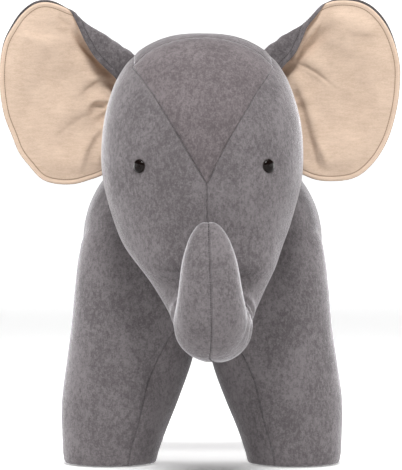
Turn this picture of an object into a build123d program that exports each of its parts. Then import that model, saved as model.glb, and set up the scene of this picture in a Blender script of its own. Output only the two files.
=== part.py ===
"""A stuffed elephant that stands on its own four legs: sewn covers, filling and a timber frame.

It faces -Y, its back is up (+Z) and its own left side is +X. Millimetres. The origin is on the floor
under the middle of the whole toy. Every form takes an inset, so a cover is the form less itself inset
by the cloth's thickness, and the filling is the form inset a little more.
"""

import math
import os

from build123d import *

# Cloth, gaps and clearances
CLOTH = 1.6  # velvet with its backing
LOOSE = 0.4  # between a cover and its filling
SLIT = 0.2  # between two panels that are sewn together
PLAY = 0.6  # between two pieces that move against each other

# Torso: ellipses across Y, from the chest to the rump
TORSO_Z = 290
TORSO_WIDTH, TORSO_HEIGHT = 158, 142  # half sizes
TORSO_STATIONS = [  # y, share of the full half sizes
    (-97, 0.30),
    (-90, 0.55),
    (-72, 0.80),
    (-35, 0.955),
    (30, 1.0),
    (215, 1.0),
    (275, 0.955),
    (318, 0.78),
    (334, 0.55),
    (340, 0.30),
]

# Legs: ellipses across Z, from the sole up to a rounded top inside the torso
LEG_STATIONS = [  # z, centre x, half width, half depth
    (1, 119, 55, 56),
    (13, 118.5, 58.5, 58),
    (40, 114, 65.5, 62),
    (84, 105.5, 74, 67),
    (136, 93, 80, 71),
    (190, 84, 82, 73),
    (240, 79, 79, 72),
    (282, 76, 68, 62),
    (312, 75, 50, 46),
    (328, 75, 30, 27),
    (333, 75, 14, 13),
]
FRONT_LEG_Y, REAR_LEG_Y = -30, 262
FILLING_SPLIT_Z = 170  # leg filling below, body filling above
ENDS = {"front": FRONT_LEG_Y, "rear": REAR_LEG_Y}
SIDES = {"left": 1, "right": -1}

# Soles
SOLE_RADIUS, SOLE_THICK = 54, 2.0
HEM_Z = SOLE_THICK + 0.2  # the leg covers end here, just above the sole

# Underbody gusset: a pointed arch seen from the front, straight sides then arcs
GUSSET_FOOT = (95, -1)
GUSSET_KNEE = (69, 112)
GUSSET_BELLY = (40, 172)
GUSSET_PEAK = (0, 210)

# Head and trunk: ellipses down the head, then round the curl of the trunk
HEAD_STATIONS = [  # z, centre y, half width, half depth
    (556, -142, 20, 18),
    (551, -142, 42, 38),
    (528, -143, 86, 80),
    (506, -145, 102, 97),
    (480, -147, 115, 110),
    (445, -150, 125, 120),
    (407, -152, 128, 123),
    (369, -156, 127, 119),
    (331, -165, 116, 108),
    (296, -181, 103, 90),
]
TRUNK_PIVOT = (-277, 188)  # y, z of the lowest point of the trunk's centre line
DROP_BEND, RISE_BEND = 72, 48  # radii of the centre line behind and in front of the pivot
TRUNK_DROP = [  # degrees below level, half width, half depth
    (90, 86, 70),
    (66, 68, 58),
    (44, 57, 49),
    (22, 50, 44),
    (0, 47, 42),
]
TRUNK_RISE = [(-30, 46, 41.5), (-60, 43, 39.5), (-90, 39, 37)]
TRUNK_TIP = [  # z, half width, half depth
    (262, 36, 34),
    (286, 29, 27),
    (304, 19, 18),
    (313, 10, 9.5),
    (316, 5, 5),
]
KNUCKLE = 43.5

# Head panels: the forehead's point, its corners on the crown seam, and the nape
FOREHEAD_POINT_Z = 361
CROWN_CORNER = (88, 507)  # x, z
CROWN_Y, NAPE_Z = -191, 440

# Ears: a sheet whose upper inner edge is folded forward over a straight line
EAR_BACK_Y = -80
EAR_THICK, EAR_FOLD_GAP = 9.0, 14.0
FOLD_OUT, FOLD_IN = (166, 588), (92, 531)  # x, z: where the fold leaves the rim, and meets the head
EAR_RIM = [  # x, z of the rim from the lower root round to the fold
    (100, 384),
    (128, 375),
    (177, 365),
    (225, 396),
    (252, 455),
    (258, 510),
    (240, 570),
    (197, 597),
    (166, 588),
]
EAR_FLAP_HEM = [(166, 588), (153, 560), (138, 531), (112, 503), (90, 488)]
EAR_AXIS = ((76, -85, 520), (118, -85, 385))  # top and bottom of the root
EAR_SWEEP = (-20, -10, 0, 12, 24, 36)  # degrees, back to forward, at which it clears the head

# Tail
TAIL_RADIUS, TAIL_Y = 9, 349.5
TAIL_TOP_Z, TAIL_BEND_Z, TAIL_END_Z = 332, 262, 190
TUFT_RADIUS, TUFT_LENGTH = 13, 46

# Timber frame
POST = 30  # square section
POST_FOOT, POST_HEAD = (118, 14.6), (78, 298)  # x, z of a post's axis at its ends
BOARD_Z, BOARD_THICK = 298, 15
APRON_THICK, APRON_HEIGHT = 20, 50
NECK_DEPTH, NECK_TOP_Z = 32, 462
NECK_FRONT_Y = FRONT_LEG_Y - APRON_THICK / 2 - NECK_DEPTH
PLATE_THICK = 12
FOOT_DISC_RADIUS, FOOT_DISC_THICK = 48, 12
SCREW_SHANK, SCREW_HEAD, SCREW_LENGTH = 2.0, 4.2, 45

# Eyes
EYE_X, EYE_Z = 78.5, 384
EYE_RADIUS, EYE_RISE = 7.5, 4.2
SHANK_RADIUS, SHANK_LENGTH = 2.0, 15
WASHER_RADIUS, WASHER_THICK = 9, 2


def ellipse_at(centre, along, half_x, half_depth, inset):
    """A section of a form, square to the direction given."""
    plane = Plane(centre, x_dir=(1, 0, 0), z_dir=along)
    return plane * Ellipse(max(half_x - inset, 2), max(half_depth - inset, 2))


def head_sections(inset):
    """The sections of the head alone; the top one comes down by the inset."""
    sections = []
    for index, (z, y, half_x, half_y) in enumerate(HEAD_STATIONS):
        lower = inset if index == 0 else 0
        sections.append(ellipse_at((0, y, z - lower), (0, 0, -1), half_x, half_y, inset))
    return sections


def head_form(inset=0.0):
    """Head and trunk in one, from the crown down and round to the trunk's tip."""
    sections = head_sections(inset)
    pivot_y, pivot_z = TRUNK_PIVOT
    for stations, bend in ((TRUNK_DROP, DROP_BEND), (TRUNK_RISE, RISE_BEND)):
        for degrees, half_x, half_depth in stations:
            turn = math.radians(degrees)
            centre = (0, pivot_y + bend * math.sin(turn), pivot_z + bend * (1 - math.cos(turn)))
            along = (0, -math.cos(turn), -math.sin(turn))
            sections.append(ellipse_at(centre, along, half_x, half_depth, inset))
    for index, (z, half_x, half_depth) in enumerate(TRUNK_TIP):
        lower = inset if index == len(TRUNK_TIP) - 1 else 0
        centre = (0, pivot_y - RISE_BEND, z - lower)
        sections.append(ellipse_at(centre, (0, 0, 1), half_x, half_depth, inset))
    return loft(sections)


def leg_form(side, end_y, inset=0.0):
    """A leg, open at the sole: only its rounded top comes in by the inset."""
    sections = []
    for index, (z, x, half_x, half_y) in enumerate(LEG_STATIONS):
        lower = inset if index == len(LEG_STATIONS) - 1 else 0
        sections.append(ellipse_at((side * x, end_y, z - lower), (0, 0, 1), half_x, half_y, inset))
    return loft(sections)


def torso_form(inset=0.0):
    sections = []
    last = len(TORSO_STATIONS) - 1
    for index, (y, share) in enumerate(TORSO_STATIONS):
        step = {0: inset, last: -inset}.get(index, 0)
        centre = (0, y + step, TORSO_Z)
        half_x, half_z = TORSO_WIDTH * share, TORSO_HEIGHT * share
        sections.append(ellipse_at(centre, (0, -1, 0), half_x, half_z, inset))
    return loft(sections)


def body_form(inset=0.0):
    """Torso and four legs as one solid."""
    form = torso_form(inset)
    for side in SIDES.values():
        for end_y in ENDS.values():
            form += leg_form(side, end_y, inset)
    return form


def block(low, high):
    """A box between two corners."""
    size = [h - l for l, h in zip(low, high)]
    middle = [(h + l) / 2 for l, h in zip(low, high)]
    return Pos(*middle) * Box(*size)


def prism(points, low, high):
    """A closed outline of straight lines seen from the front, extruded along Y."""
    wire = Polyline(*[(x, low, z) for x, z in points], close=True)
    return extrude(make_face(wire), amount=high - low, dir=(0, 1, 0))


def gusset_tool(spread=0.0):
    """The pointed arch, from in front of the chest to behind the rump."""
    foot, knee, belly = [(x + spread, z) for x, z in (GUSSET_FOOT, GUSSET_KNEE, GUSSET_BELLY)]
    peak = (0, GUSSET_PEAK[1] + spread)
    at = lambda point, side=1: (side * point[0], -200, point[1])
    edges = Line(at(foot, -1), at(foot)) + Line(at(foot), at(knee))
    edges += ThreePointArc(at(knee), at(belly), at(peak))
    edges += ThreePointArc(at(peak), at(belly, -1), at(knee, -1))
    edges += Line(at(knee, -1), at(foot, -1))
    return extrude(make_face(edges), amount=700, dir=(0, 1, 0))


def trunk_end_room(radius):
    """Where the moving end of the trunk is: ahead of its pivot, and a round end of this radius."""
    y, z = TRUNK_PIVOT
    ahead = block((-75, y - 150, z - 80), (75, y, z + 145))
    return ahead + Pos(0, y, z) * Rot(0, 90, 0) * Cylinder(radius, 150)


def forehead_wedge(spread=0.0):
    """The room of the forehead's pointed panel, in front of the crown seam."""
    corner_x, corner_z = CROWN_CORNER
    slope = (corner_z - FOREHEAD_POINT_Z) / corner_x
    wide = 140
    point = FOREHEAD_POINT_Z - spread * math.hypot(1, slope)
    wedge = [(-wide, point + wide * slope), (0, point), (wide, point + wide * slope)]
    return prism(wedge, -400, CROWN_Y)


def crown_band(spread=0.0):
    """The room of the panel that runs back over the crown to the nape."""
    half = CROWN_CORNER[0] + spread
    return block((-half, CROWN_Y, NAPE_Z - spread), (half, 60, 640))


def half_space(side):
    """Everything on one side of the centre plane, less half a slit."""
    low, high = sorted((side * SLIT / 2, side * 400))
    return block((low, -500, -50), (high, 500, 700))


# Frame ---------------------------------------------------------------------------------------------


def leg_post(side, end_y):
    foot, head = Vector(side * POST_FOOT[0], end_y, POST_FOOT[1]), Vector(side * POST_HEAD[0], end_y, POST_HEAD[1])
    along = head - foot
    plane = Plane(foot - along * 0.1, x_dir=(0, 1, 0), z_dir=along)
    bar = extrude(plane * Rectangle(POST, POST), amount=along.length * 1.2)
    return bar & block((-400, -500, POST_FOOT[1]), (400, 500, POST_HEAD[1]))


def screw(position, rotation):
    """A countersunk wood screw, its head's top at the position, driven along its own -Z."""
    shank = Pos(0, 0, -SCREW_LENGTH / 2) * Cylinder(SCREW_SHANK, SCREW_LENGTH)
    head = Pos(0, 0, -1.5) * Cone(SCREW_SHANK, SCREW_HEAD, 3)
    return Location(position, rotation) * (shank + head)


def frame_screws():
    """Every screw of the frame, each a separate solid."""
    top = BOARD_Z + BOARD_THICK
    found = []
    for side in SIDES.values():
        for end_y in ENDS.values():
            found.append(screw((side * POST_HEAD[0] * 0.99, end_y, top), (0, 0, 0)))
            found.append(screw((side * POST_FOOT[0], end_y, HEM_Z + 0.4), (180, 0, 0)))
    for y in (FRONT_LEG_Y, REAR_LEG_Y):
        found.append(screw((0, y, top), (0, 0, 0)))
    for z in (258, 284):
        found.append(screw((0, NECK_FRONT_Y, z), (90, 0, 0)))
    for x, z in ((-9, 380), (9, 440)):
        found.append(screw((x, NECK_FRONT_Y - PLATE_THICK, z), (90, 0, 0)))
    return found


def timber():
    """The frame's wooden members, bored for their screws."""
    members = {}
    posts = None
    for end, end_y in ENDS.items():
        for name, side in SIDES.items():
            post = leg_post(side, end_y)
            members[f"leg_post_{end}_{name}"] = post
            posts = post if posts is None else posts + post
            disc = Pos(side * POST_FOOT[0], end_y, HEM_Z + 0.2 + FOOT_DISC_THICK / 2)
            members[f"foot_disc_{end}_{name}"] = disc * Cylinder(FOOT_DISC_RADIUS, FOOT_DISC_THICK)
    board = block((-100, -58, BOARD_Z), (100, 292, BOARD_Z + BOARD_THICK))
    board = fillet(board.edges().filter_by(Axis.Z), 30)
    notch = block((-18, -80, BOARD_Z - 1), (18, FRONT_LEG_Y - APRON_THICK / 2 + 0.2, BOARD_Z + 30))
    members["seat_board"] = board - notch
    for end, end_y in ENDS.items():
        apron = block(
            (-85, end_y - APRON_THICK / 2, BOARD_Z - APRON_HEIGHT),
            (85, end_y + APRON_THICK / 2, BOARD_Z),
        )
        members[f"{end}_apron"] = apron - posts
    inner = APRON_THICK / 2
    members["spine_rail"] = block(
        (-20, FRONT_LEG_Y + inner, BOARD_Z - 40), (20, REAR_LEG_Y - inner, BOARD_Z)
    )
    members["neck_post"] = block(
        (-17, NECK_FRONT_Y, BOARD_Z - APRON_HEIGHT), (17, NECK_FRONT_Y + NECK_DEPTH, NECK_TOP_Z)
    )
    plate_middle = Pos(0, NECK_FRONT_Y - PLATE_THICK / 2, 408) * Rot(90, 0, 0)
    members["head_plate"] = plate_middle * extrude(Ellipse(62, 72), PLATE_THICK / 2, both=True)
    screws = Compound(children=frame_screws())
    bored = {name: member - screws for name, member in members.items()}
    return bored, screws


# Ears ----------------------------------------------------------------------------------------------


def ear_channel(inner, outer):
    """A U-shaped channel along the fold: the ear's face behind, its folded edge in front."""
    start = Vector(FOLD_OUT[0], EAR_BACK_Y, FOLD_OUT[1])
    along = Vector(FOLD_IN[0] - FOLD_OUT[0], 0, FOLD_IN[1] - FOLD_OUT[1]).normalized()
    down = Vector(-along.Z, 0, along.X)
    plane = Plane(start - along * 150, x_dir=down, z_dir=along)
    forward = 1 if plane.y_dir.Y < 0 else -1
    bend = EAR_THICK + EAR_FOLD_GAP / 2  # radius of the fold's outside
    middle = forward * bend
    deep = 270
    ring = Pos(bend, middle) * (Circle(outer) - Circle(inner))
    ring &= Pos(bend - outer, middle) * Rectangle(2 * outer, 2 * outer + 1)
    wall = outer - inner
    centre = (outer + inner) / 2
    legs = Pos(bend + deep / 2, middle - forward * centre) * Rectangle(deep, wall)
    legs += Pos(bend + deep / 2, middle + forward * centre) * Rectangle(deep, wall)
    profile = ring + legs
    return extrude(plane * profile, amount=420)


def ear_outline():
    """The room that the ear's face and its folded edge may fill, seen from the front."""
    middle_y = EAR_BACK_Y - EAR_THICK - EAR_FOLD_GAP / 2
    front_y = middle_y - 30
    at = lambda point: (point[0], middle_y, point[1])
    fold_in, rim_start = (60, 506), EAR_RIM[0]
    rim = Spline(*[at(p) for p in EAR_RIM])
    face = rim + Polyline(at(EAR_RIM[-1]), at(FOLD_IN), at(fold_in), at((60, 384)), at(rim_start))
    face = extrude(make_face(face), amount=40, dir=(0, 1, 0))
    hem = Spline(*[at(p) for p in EAR_FLAP_HEM])
    flap = hem + Polyline(at(EAR_FLAP_HEM[-1]), at(fold_in), at(FOLD_IN), at(EAR_FLAP_HEM[0]))
    flap = extrude(make_face(flap), amount=front_y - middle_y, dir=(0, 1, 0))
    return face + flap


def ear_layers():
    """Lining, padding and back of the ear on the +X side, cleared of the head as it turns."""
    outer = EAR_THICK + EAR_FOLD_GAP / 2
    inner = EAR_FOLD_GAP / 2
    room = ear_outline()
    top, bottom = Vector(*EAR_AXIS[0]), Vector(*EAR_AXIS[1])
    axis = Axis(bottom, top - bottom)
    head = loft(head_sections(-1.2))
    for angle in EAR_SWEEP:
        room -= head.rotate(axis, angle)
    bands = {
        "lining": (inner, inner + CLOTH),
        "padding": (inner + CLOTH + LOOSE, outer - CLOTH - LOOSE),
        "back": (outer - CLOTH, outer),
    }
    return {name: ear_channel(a, b) & room for name, (a, b) in bands.items()}


# Eyes and tail -------------------------------------------------------------------------------------


def eye_place():
    """The plane on the face's surface where an eye sits, its Z axis pointing out."""
    z, centre_y, half_x, half_y = (EYE_Z, -154.5, 127.4, 122.8)
    y = centre_y - half_y * math.sqrt(1 - (EYE_X / half_x) ** 2)
    outward = Vector(EYE_X / half_x**2, (y - centre_y) / half_y**2, 0.0)
    return Plane((EYE_X, y, z), x_dir=(0, 0, 1), z_dir=outward)


def eye():
    """A domed eye with its shank, made in one piece."""
    sphere = (EYE_RADIUS**2 + EYE_RISE**2) / (2 * EYE_RISE)
    ball = Pos(0, 0, EYE_RISE - sphere) * Sphere(sphere)
    dome = ball & Pos(0, 0, EYE_RISE / 2 + 0.3) * Cylinder(EYE_RADIUS + 1, EYE_RISE)
    shank = Pos(0, 0, -SHANK_LENGTH / 2 + 0.5) * Cylinder(SHANK_RADIUS, SHANK_LENGTH)
    return eye_place() * (dome + shank)


def eye_washer():
    ring = Cylinder(WASHER_RADIUS, WASHER_THICK) - Cylinder(SHANK_RADIUS + 0.05, WASHER_THICK * 2)
    return eye_place() * Pos(0, 0, -CLOTH - 2.2 - WASHER_THICK / 2) * ring


def tail_pieces():
    """The tail's tab in the rump seam, its two tubes and its tuft."""
    tab = block((-7, 322, TAIL_TOP_Z + 2), (7, TAIL_Y + 5, TAIL_TOP_Z + 18))
    tab -= torso_form(-SLIT)
    tab -= Pos(0, TAIL_Y, TAIL_TOP_Z) * Sphere(TAIL_RADIUS + PLAY)
    upper = Pos(0, TAIL_Y, TAIL_TOP_Z) * Sphere(TAIL_RADIUS)
    upper_end = TAIL_BEND_Z + TAIL_RADIUS + PLAY
    upper += block_tube(upper_end, TAIL_TOP_Z)
    lower = Pos(0, TAIL_Y, TAIL_BEND_Z) * Sphere(TAIL_RADIUS) + block_tube(TAIL_END_Z, TAIL_BEND_Z)
    tuft_top = TAIL_END_Z - SLIT
    tuft = Pos(0, TAIL_Y, tuft_top - TUFT_LENGTH / 2) * Cylinder(TUFT_RADIUS * 0.8, TUFT_LENGTH)
    tuft = fillet(tuft.edges(), 7)
    return tab, upper, lower, tuft


def block_tube(low_z, high_z):
    """A straight length of the tail."""
    return Pos(0, TAIL_Y, (low_z + high_z) / 2) * Cylinder(TAIL_RADIUS, high_z - low_z)


def mirrored(shape):
    return mirror(shape, Plane.YZ)


def build():
    nodes, screws = timber()
    nodes["frame_screws"] = screws
    wood = Compound(children=[s for node in list(nodes.values()) for s in node.solids()])

    # Head: covers, filling and the free end of the trunk
    full = CLOTH + LOOSE
    eyes = {"left": eye(), "right": mirrored(eye())}
    washers = {"left": eye_washer(), "right": mirrored(eye_washer())}
    eye_holes = eyes["left"] + eyes["right"]
    washer_holes = washers["left"] + washers["right"]
    neck_hole = block((-18, NECK_FRONT_Y - 1, 240), (18, NECK_FRONT_Y + NECK_DEPTH + 1, NECK_TOP_Z))
    end_room = trunk_end_room(KNUCKLE)
    kept_free = trunk_end_room(KNUCKLE + PLAY)

    lined = head_form(CLOTH)
    shell = head_form() - lined
    fixed = shell - kept_free - neck_hole - eye_holes
    nodes["forehead_gusset"] = fixed & forehead_wedge()
    nodes["crown_panel"] = (fixed & crown_band()) - forehead_wedge(SLIT)
    faces = fixed - (forehead_wedge(SLIT) + crown_band(SLIT))
    tip_shell = shell & end_room
    for name, side in SIDES.items():
        nodes[f"face_panel_{name}"] = faces & half_space(side)
        nodes[f"trunk_panel_{name}"] = tip_shell & half_space(side)
    filling = head_form(full) & lined
    nodes["head_filling"] = filling - kept_free - wood - neck_hole - washer_holes - eye_holes
    nodes["trunk_filling"] = filling & end_room

    # Body: side panels, gusset, soles and filling
    head_clear = head_form(-SLIT)
    lined = body_form(CLOTH)
    above_hem = block((-400, -500, HEM_Z), (400, 500, 700))
    shell = ((body_form() - lined) & above_hem) - head_clear - neck_hole
    nodes["underbody_gusset"] = shell & gusset_tool()
    panels = shell - gusset_tool(SLIT)
    foam_z = BOARD_Z + BOARD_THICK
    filling = (body_form(full) & lined) - head_clear - wood - neck_hole
    nodes["seat_foam"] = filling & block((-300, -300, foam_z), (300, 500, 600))
    nodes["body_filling"] = filling & block((-300, -300, FILLING_SPLIT_Z), (300, 500, foam_z - SLIT))
    for name, side in SIDES.items():
        nodes[f"body_side_{name}"] = panels & half_space(side)
        low, high = sorted((0.0, side * 300))
        for end, end_y in ENDS.items():
            corner = (low, end_y - 140, HEM_Z + 0.5), (high, end_y + 140, FILLING_SPLIT_Z - SLIT)
            nodes[f"leg_filling_{end}_{name}"] = filling & half_space(side) & block(*corner)
            sole = Pos(side * LEG_STATIONS[0][1], end_y, SOLE_THICK / 2)
            nodes[f"sole_{end}_{name}"] = sole * Cylinder(SOLE_RADIUS, SOLE_THICK)

    # Ears
    for layer, shape in ear_layers().items():
        nodes[f"ear_{layer}_left"] = shape
        nodes[f"ear_{layer}_right"] = mirrored(shape)

    for name in SIDES:
        nodes[f"eye_{name}"] = eyes[name]
        nodes[f"eye_washer_{name}"] = washers[name]
    tab, upper, lower, tuft = tail_pieces()
    nodes["tail_tab"], nodes["tail_upper"] = tab, upper
    nodes["tail_lower"], nodes["tail_tuft"] = lower, tuft
    return nodes


os.makedirs("parts", exist_ok=True)
for node_name, node_shape in build().items():
    export_step(node_shape, f"parts/{node_name}.step")
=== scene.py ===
"""Looks of the stuffed elephant: sewn velvet covers, lined ears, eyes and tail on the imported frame."""

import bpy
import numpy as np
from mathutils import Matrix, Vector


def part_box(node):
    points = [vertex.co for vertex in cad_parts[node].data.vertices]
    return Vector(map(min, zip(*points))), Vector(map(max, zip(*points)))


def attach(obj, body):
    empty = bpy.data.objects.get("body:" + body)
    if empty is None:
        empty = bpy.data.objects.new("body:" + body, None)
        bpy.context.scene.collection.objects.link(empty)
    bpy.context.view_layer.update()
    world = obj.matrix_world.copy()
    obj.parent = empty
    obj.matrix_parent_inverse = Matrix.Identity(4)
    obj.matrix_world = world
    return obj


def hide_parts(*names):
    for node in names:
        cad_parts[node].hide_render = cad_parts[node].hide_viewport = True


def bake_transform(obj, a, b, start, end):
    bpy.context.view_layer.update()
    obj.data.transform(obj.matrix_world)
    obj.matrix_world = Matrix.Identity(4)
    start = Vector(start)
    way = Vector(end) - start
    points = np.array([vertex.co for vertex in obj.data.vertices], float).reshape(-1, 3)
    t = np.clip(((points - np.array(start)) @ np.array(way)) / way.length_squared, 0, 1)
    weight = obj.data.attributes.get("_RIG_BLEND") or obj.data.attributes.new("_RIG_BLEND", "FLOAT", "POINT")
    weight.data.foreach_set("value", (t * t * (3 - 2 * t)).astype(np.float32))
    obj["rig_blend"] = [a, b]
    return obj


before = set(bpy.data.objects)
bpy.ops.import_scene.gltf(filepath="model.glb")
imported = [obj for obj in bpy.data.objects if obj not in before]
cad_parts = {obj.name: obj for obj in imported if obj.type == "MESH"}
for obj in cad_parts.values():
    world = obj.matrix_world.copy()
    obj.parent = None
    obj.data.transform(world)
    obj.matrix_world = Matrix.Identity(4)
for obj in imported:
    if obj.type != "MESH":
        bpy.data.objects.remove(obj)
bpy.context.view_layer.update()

import math

import bmesh
import bpy
import numpy as np
from bpy.props import FloatProperty, FloatVectorProperty, PointerProperty
from mathutils import Vector
from mathutils.bvhtree import BVHTree
from mathutils.kdtree import KDTree

bl_info = {
    "name": "Stuffed elephant",
    "version": (1, 0, 0),
    "blender": (4, 5, 0),
    "location": "3D View > Sidebar > Elephant",
    "description": "Sews the covers, ears, trunk and tail of a standing velvet elephant",
    "category": "Object",
}

MM = 0.001


# Sizes and colours ---------------------------------------------------------------------------------


def length(name, description, default):
    """A size that a user can change, in metres."""
    return FloatProperty(name=name, description=description, default=default, unit="LENGTH", precision=5)


def colour(name, description, default):
    """A colour that a user can change."""
    return FloatVectorProperty(
        name=name, description=description, default=default, subtype="COLOR", size=3, min=0, max=1
    )


class ElephantSewing(bpy.types.PropertyGroup):
    """Sizes of seams, stitches and padding"""

    seam_gap: length("Seam gap", "Width of the dark line between two sewn panels", 0.0004)
    seam_depth: length("Seam depth", "How far a panel's edge turns in at a seam", 0.005)
    seam_dip: length("Seam dip", "How far the filling's tension pulls the cloth down beside a seam", 0.0010)
    pucker: length("Pucker", "Height of the small puckers along the seams", 0.00035)
    stitch: length("Stitch", "Length of one stitch with its gap", 0.0027)
    thread: length("Thread", "Thickness of the thread round the ears", 0.0008)
    trunk_thread: length("Trunk thread", "Thickness of the thread that closes the trunk", 0.0011)
    hem: length("Ear hem", "Distance of the ear's edge stitching from its rim", 0.0062)
    ear_padding: length("Ear padding", "Thickness of the ear's padding", 0.0075)


class ElephantColours(bpy.types.PropertyGroup):
    """Colours of every cloth and fitting"""

    velvet: colour("Velvet", "Grey velvet with the nap lying down", (0.108, 0.096, 0.100))
    nap: colour("Nap", "The same velvet where its nap is brushed up", (0.198, 0.179, 0.186))
    cotton: colour("Cotton", "Beige cotton that lines the ears", (0.672, 0.519, 0.407))
    cotton_shade: colour("Cotton shade", "The cotton's darker yarns", (0.499, 0.370, 0.277))
    grey_thread: colour("Grey thread", "Thread in the velvet", (0.022, 0.020, 0.022))
    brown_thread: colour("Brown thread", "Thread in the ears' lining", (0.27, 0.175, 0.105))
    eye: colour("Eye", "Dark brown of the eyes", (0.006, 0.0035, 0.003))
    rim: colour("Eye rim", "Paler rim of the eyes", (0.030, 0.024, 0.022))
    filling: colour("Filling", "Polyester fibre", (0.84, 0.83, 0.80))
    foam: colour("Foam", "Foam pad under the back", (0.86, 0.76, 0.45))
    pine: colour("Pine", "Planed pine of the frame", (0.62, 0.42, 0.23))
    floor: colour("Floor", "The studio's floor", (0.93, 0.93, 0.93))


class ElephantStage(bpy.types.PropertyGroup):
    """The camera and the light all round"""

    distance: length("Camera distance", "From the middle of the toy to the camera", 3.1)
    height: length("Camera height", "Height of the camera and of what it aims at", 0.300)
    aside: length("Camera aside", "How far the aim stands to the toy's left", -0.0015)
    turn: FloatProperty(
        name="Camera turn", description="Azimuth of the camera", default=0.012, subtype="ANGLE"
    )
    tall: length("View height", "Height that the picture takes in at the ears", 0.6052)
    light: FloatProperty(name="Light", description="Strength of the soft light all round", default=0.04)


# Shader maths --------------------------------------------------------------------------------------


class Sock:
    """A shader socket that adds Math nodes when it is used in an expression."""

    def __init__(self, maker, socket):
        self.maker, self.socket = maker, socket

    def _with(self, operation, other, swap=False):
        pair = (other, self) if swap else (self, other)
        return self.maker.node("ShaderNodeMath", {"operation": operation}, pair)[0]

    def __add__(self, other):
        return self._with("ADD", other)

    def __mul__(self, other):
        return self._with("MULTIPLY", other)

    def __rsub__(self, other):
        return self._with("SUBTRACT", other, True)

    __radd__, __rmul__ = __add__, __mul__


class Maker:
    """Makes the nodes of one material."""

    def __init__(self, name):
        self.material = bpy.data.materials.new(name)
        self.material.use_nodes = True
        self.tree = self.material.node_tree
        self.tree.nodes.clear()

    def node(self, kind, settings=None, sockets=()):
        """Adds a node, sets it up, then fills its sockets; gives its outputs, each as a Sock."""
        made = self.tree.nodes.new(kind)
        for name, value in (settings or {}).items():
            setattr(made, name, value)
        pairs = sockets.items() if isinstance(sockets, dict) else enumerate(sockets)
        for name, value in pairs:
            if isinstance(value, Sock):
                self.tree.links.new(value.socket, made.inputs[name])
            else:
                made.inputs[name].default_value = value
        return [Sock(self, s) for s in made.outputs]

    def place(self, stretch=(1, 1, 1)):
        """The point on the object, stretched along its axes."""
        here = self.node("ShaderNodeTexCoord")[3]
        return self.node("ShaderNodeVectorMath", {"operation": "MULTIPLY"}, (here, stretch))[0]

    def noise(self, place, scale, detail=3.0, rough=0.5):
        """Soft random values between 0 and 1."""
        sockets = {"Vector": place, "Scale": scale, "Detail": detail, "Roughness": rough}
        return self.node("ShaderNodeTexNoise", None, sockets)[0]

    def band(self, value, low, high):
        """0 below low, 1 above high, smooth between."""
        return self.node(
            "ShaderNodeMapRange", {"interpolation_type": "SMOOTHSTEP"}, {0: value, 1: low, 2: high}
        )[0]

    def mix(self, share, first, second):
        """The first colour at share 0, the second at 1."""
        settings = {"data_type": "RGBA"}
        full = [c if isinstance(c, Sock) else (*c, 1) for c in (first, second)]
        return self.node("ShaderNodeMix", settings, {0: share, 6: full[0], 7: full[1]})[2]

    def attribute(self, name):
        """The piece's own number of that name."""
        return self.node("ShaderNodeAttribute", {"attribute_name": name})[2]

    def bump(self, height, distance, strength=1.0, under=None):
        """A normal that follows the height, on top of another one if given."""
        sockets = {"Strength": strength, "Distance": distance, "Height": height}
        if under is not None:
            sockets["Normal"] = under
        return self.node("ShaderNodeBump", None, sockets)[0]

    def finish(self, base, rough, normal, others=None):
        """The finished material: its shader's colour, roughness and normal, and any other sockets."""
        sockets = {"Base Color": base, "Roughness": rough, **(others or {})}
        if normal:
            sockets["Normal"] = normal
        shader = self.node("ShaderNodeBsdfPrincipled", None, sockets)[0]
        self.node("ShaderNodeOutputMaterial", None, {0: shader})
        return self.material


def scaled(tint, *factors):
    """The colour times one factor, or times one for each channel."""
    return tuple(c * f for c, f in zip(tint, factors if len(factors) == 3 else factors * 3))


def velvet(name, dark, light):
    """Short-pile velvet: the nap lies in soft patches and streaks, brighter where it is brushed up."""
    make = Maker(name)
    place = make.place()
    drawn = make.place((1.15, 1.15, 0.85))
    large = make.noise(drawn, 24.0, 3.0, 0.55)
    patches = make.noise(drawn, 165.0, 5.0, 0.7)
    streaks = make.noise(make.place((1.6, 1.6, 0.7)), 330.0, 3.0, 0.6)
    worms = make.noise(place, 520.0, 3.0, 0.6)
    pile = make.noise(place, 1500.0, 2.0, 0.6)
    lying = large * 0.22 + patches * 0.38 + streaks * 0.14 + worms * 0.26
    share = make.band(lying, 0.405, 0.60)
    colour_now = make.mix(share, dark, light)
    grain = make.mix(make.band(pile, 0.25, 0.8), (0.84, 0.84, 0.84), (1.13, 1.13, 1.13))
    multiply = {"data_type": "RGBA", "blend_type": "MULTIPLY"}
    colour_now = make.node("ShaderNodeMix", multiply, {0: 1.0, 6: colour_now, 7: grain})[2]
    # painted shade: the velvet darkens towards half its dark colour along its seams and along the ears' edge
    # stitching
    seam_shade = make.band(make.attribute("seam"), 0.4, 1.0) * 0.16
    colour_now = make.mix(seam_shade, colour_now, scaled(dark, 0.5))
    rough = make.band(share, 0.0, 1.0) * -0.14 + 0.86
    soft = make.bump(patches * 0.6 + streaks * 0.4, 0.0016, 0.55)
    normal = make.bump(pile, 0.0004, 0.45, soft)
    sheen = {"Sheen Weight": 0.85, "Sheen Roughness": 0.30, "Sheen Tint": (0.93, 0.92, 0.95, 1)}
    return make.finish(colour_now, rough, normal, {**sheen, "Specular IOR Level": 0.18})


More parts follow.
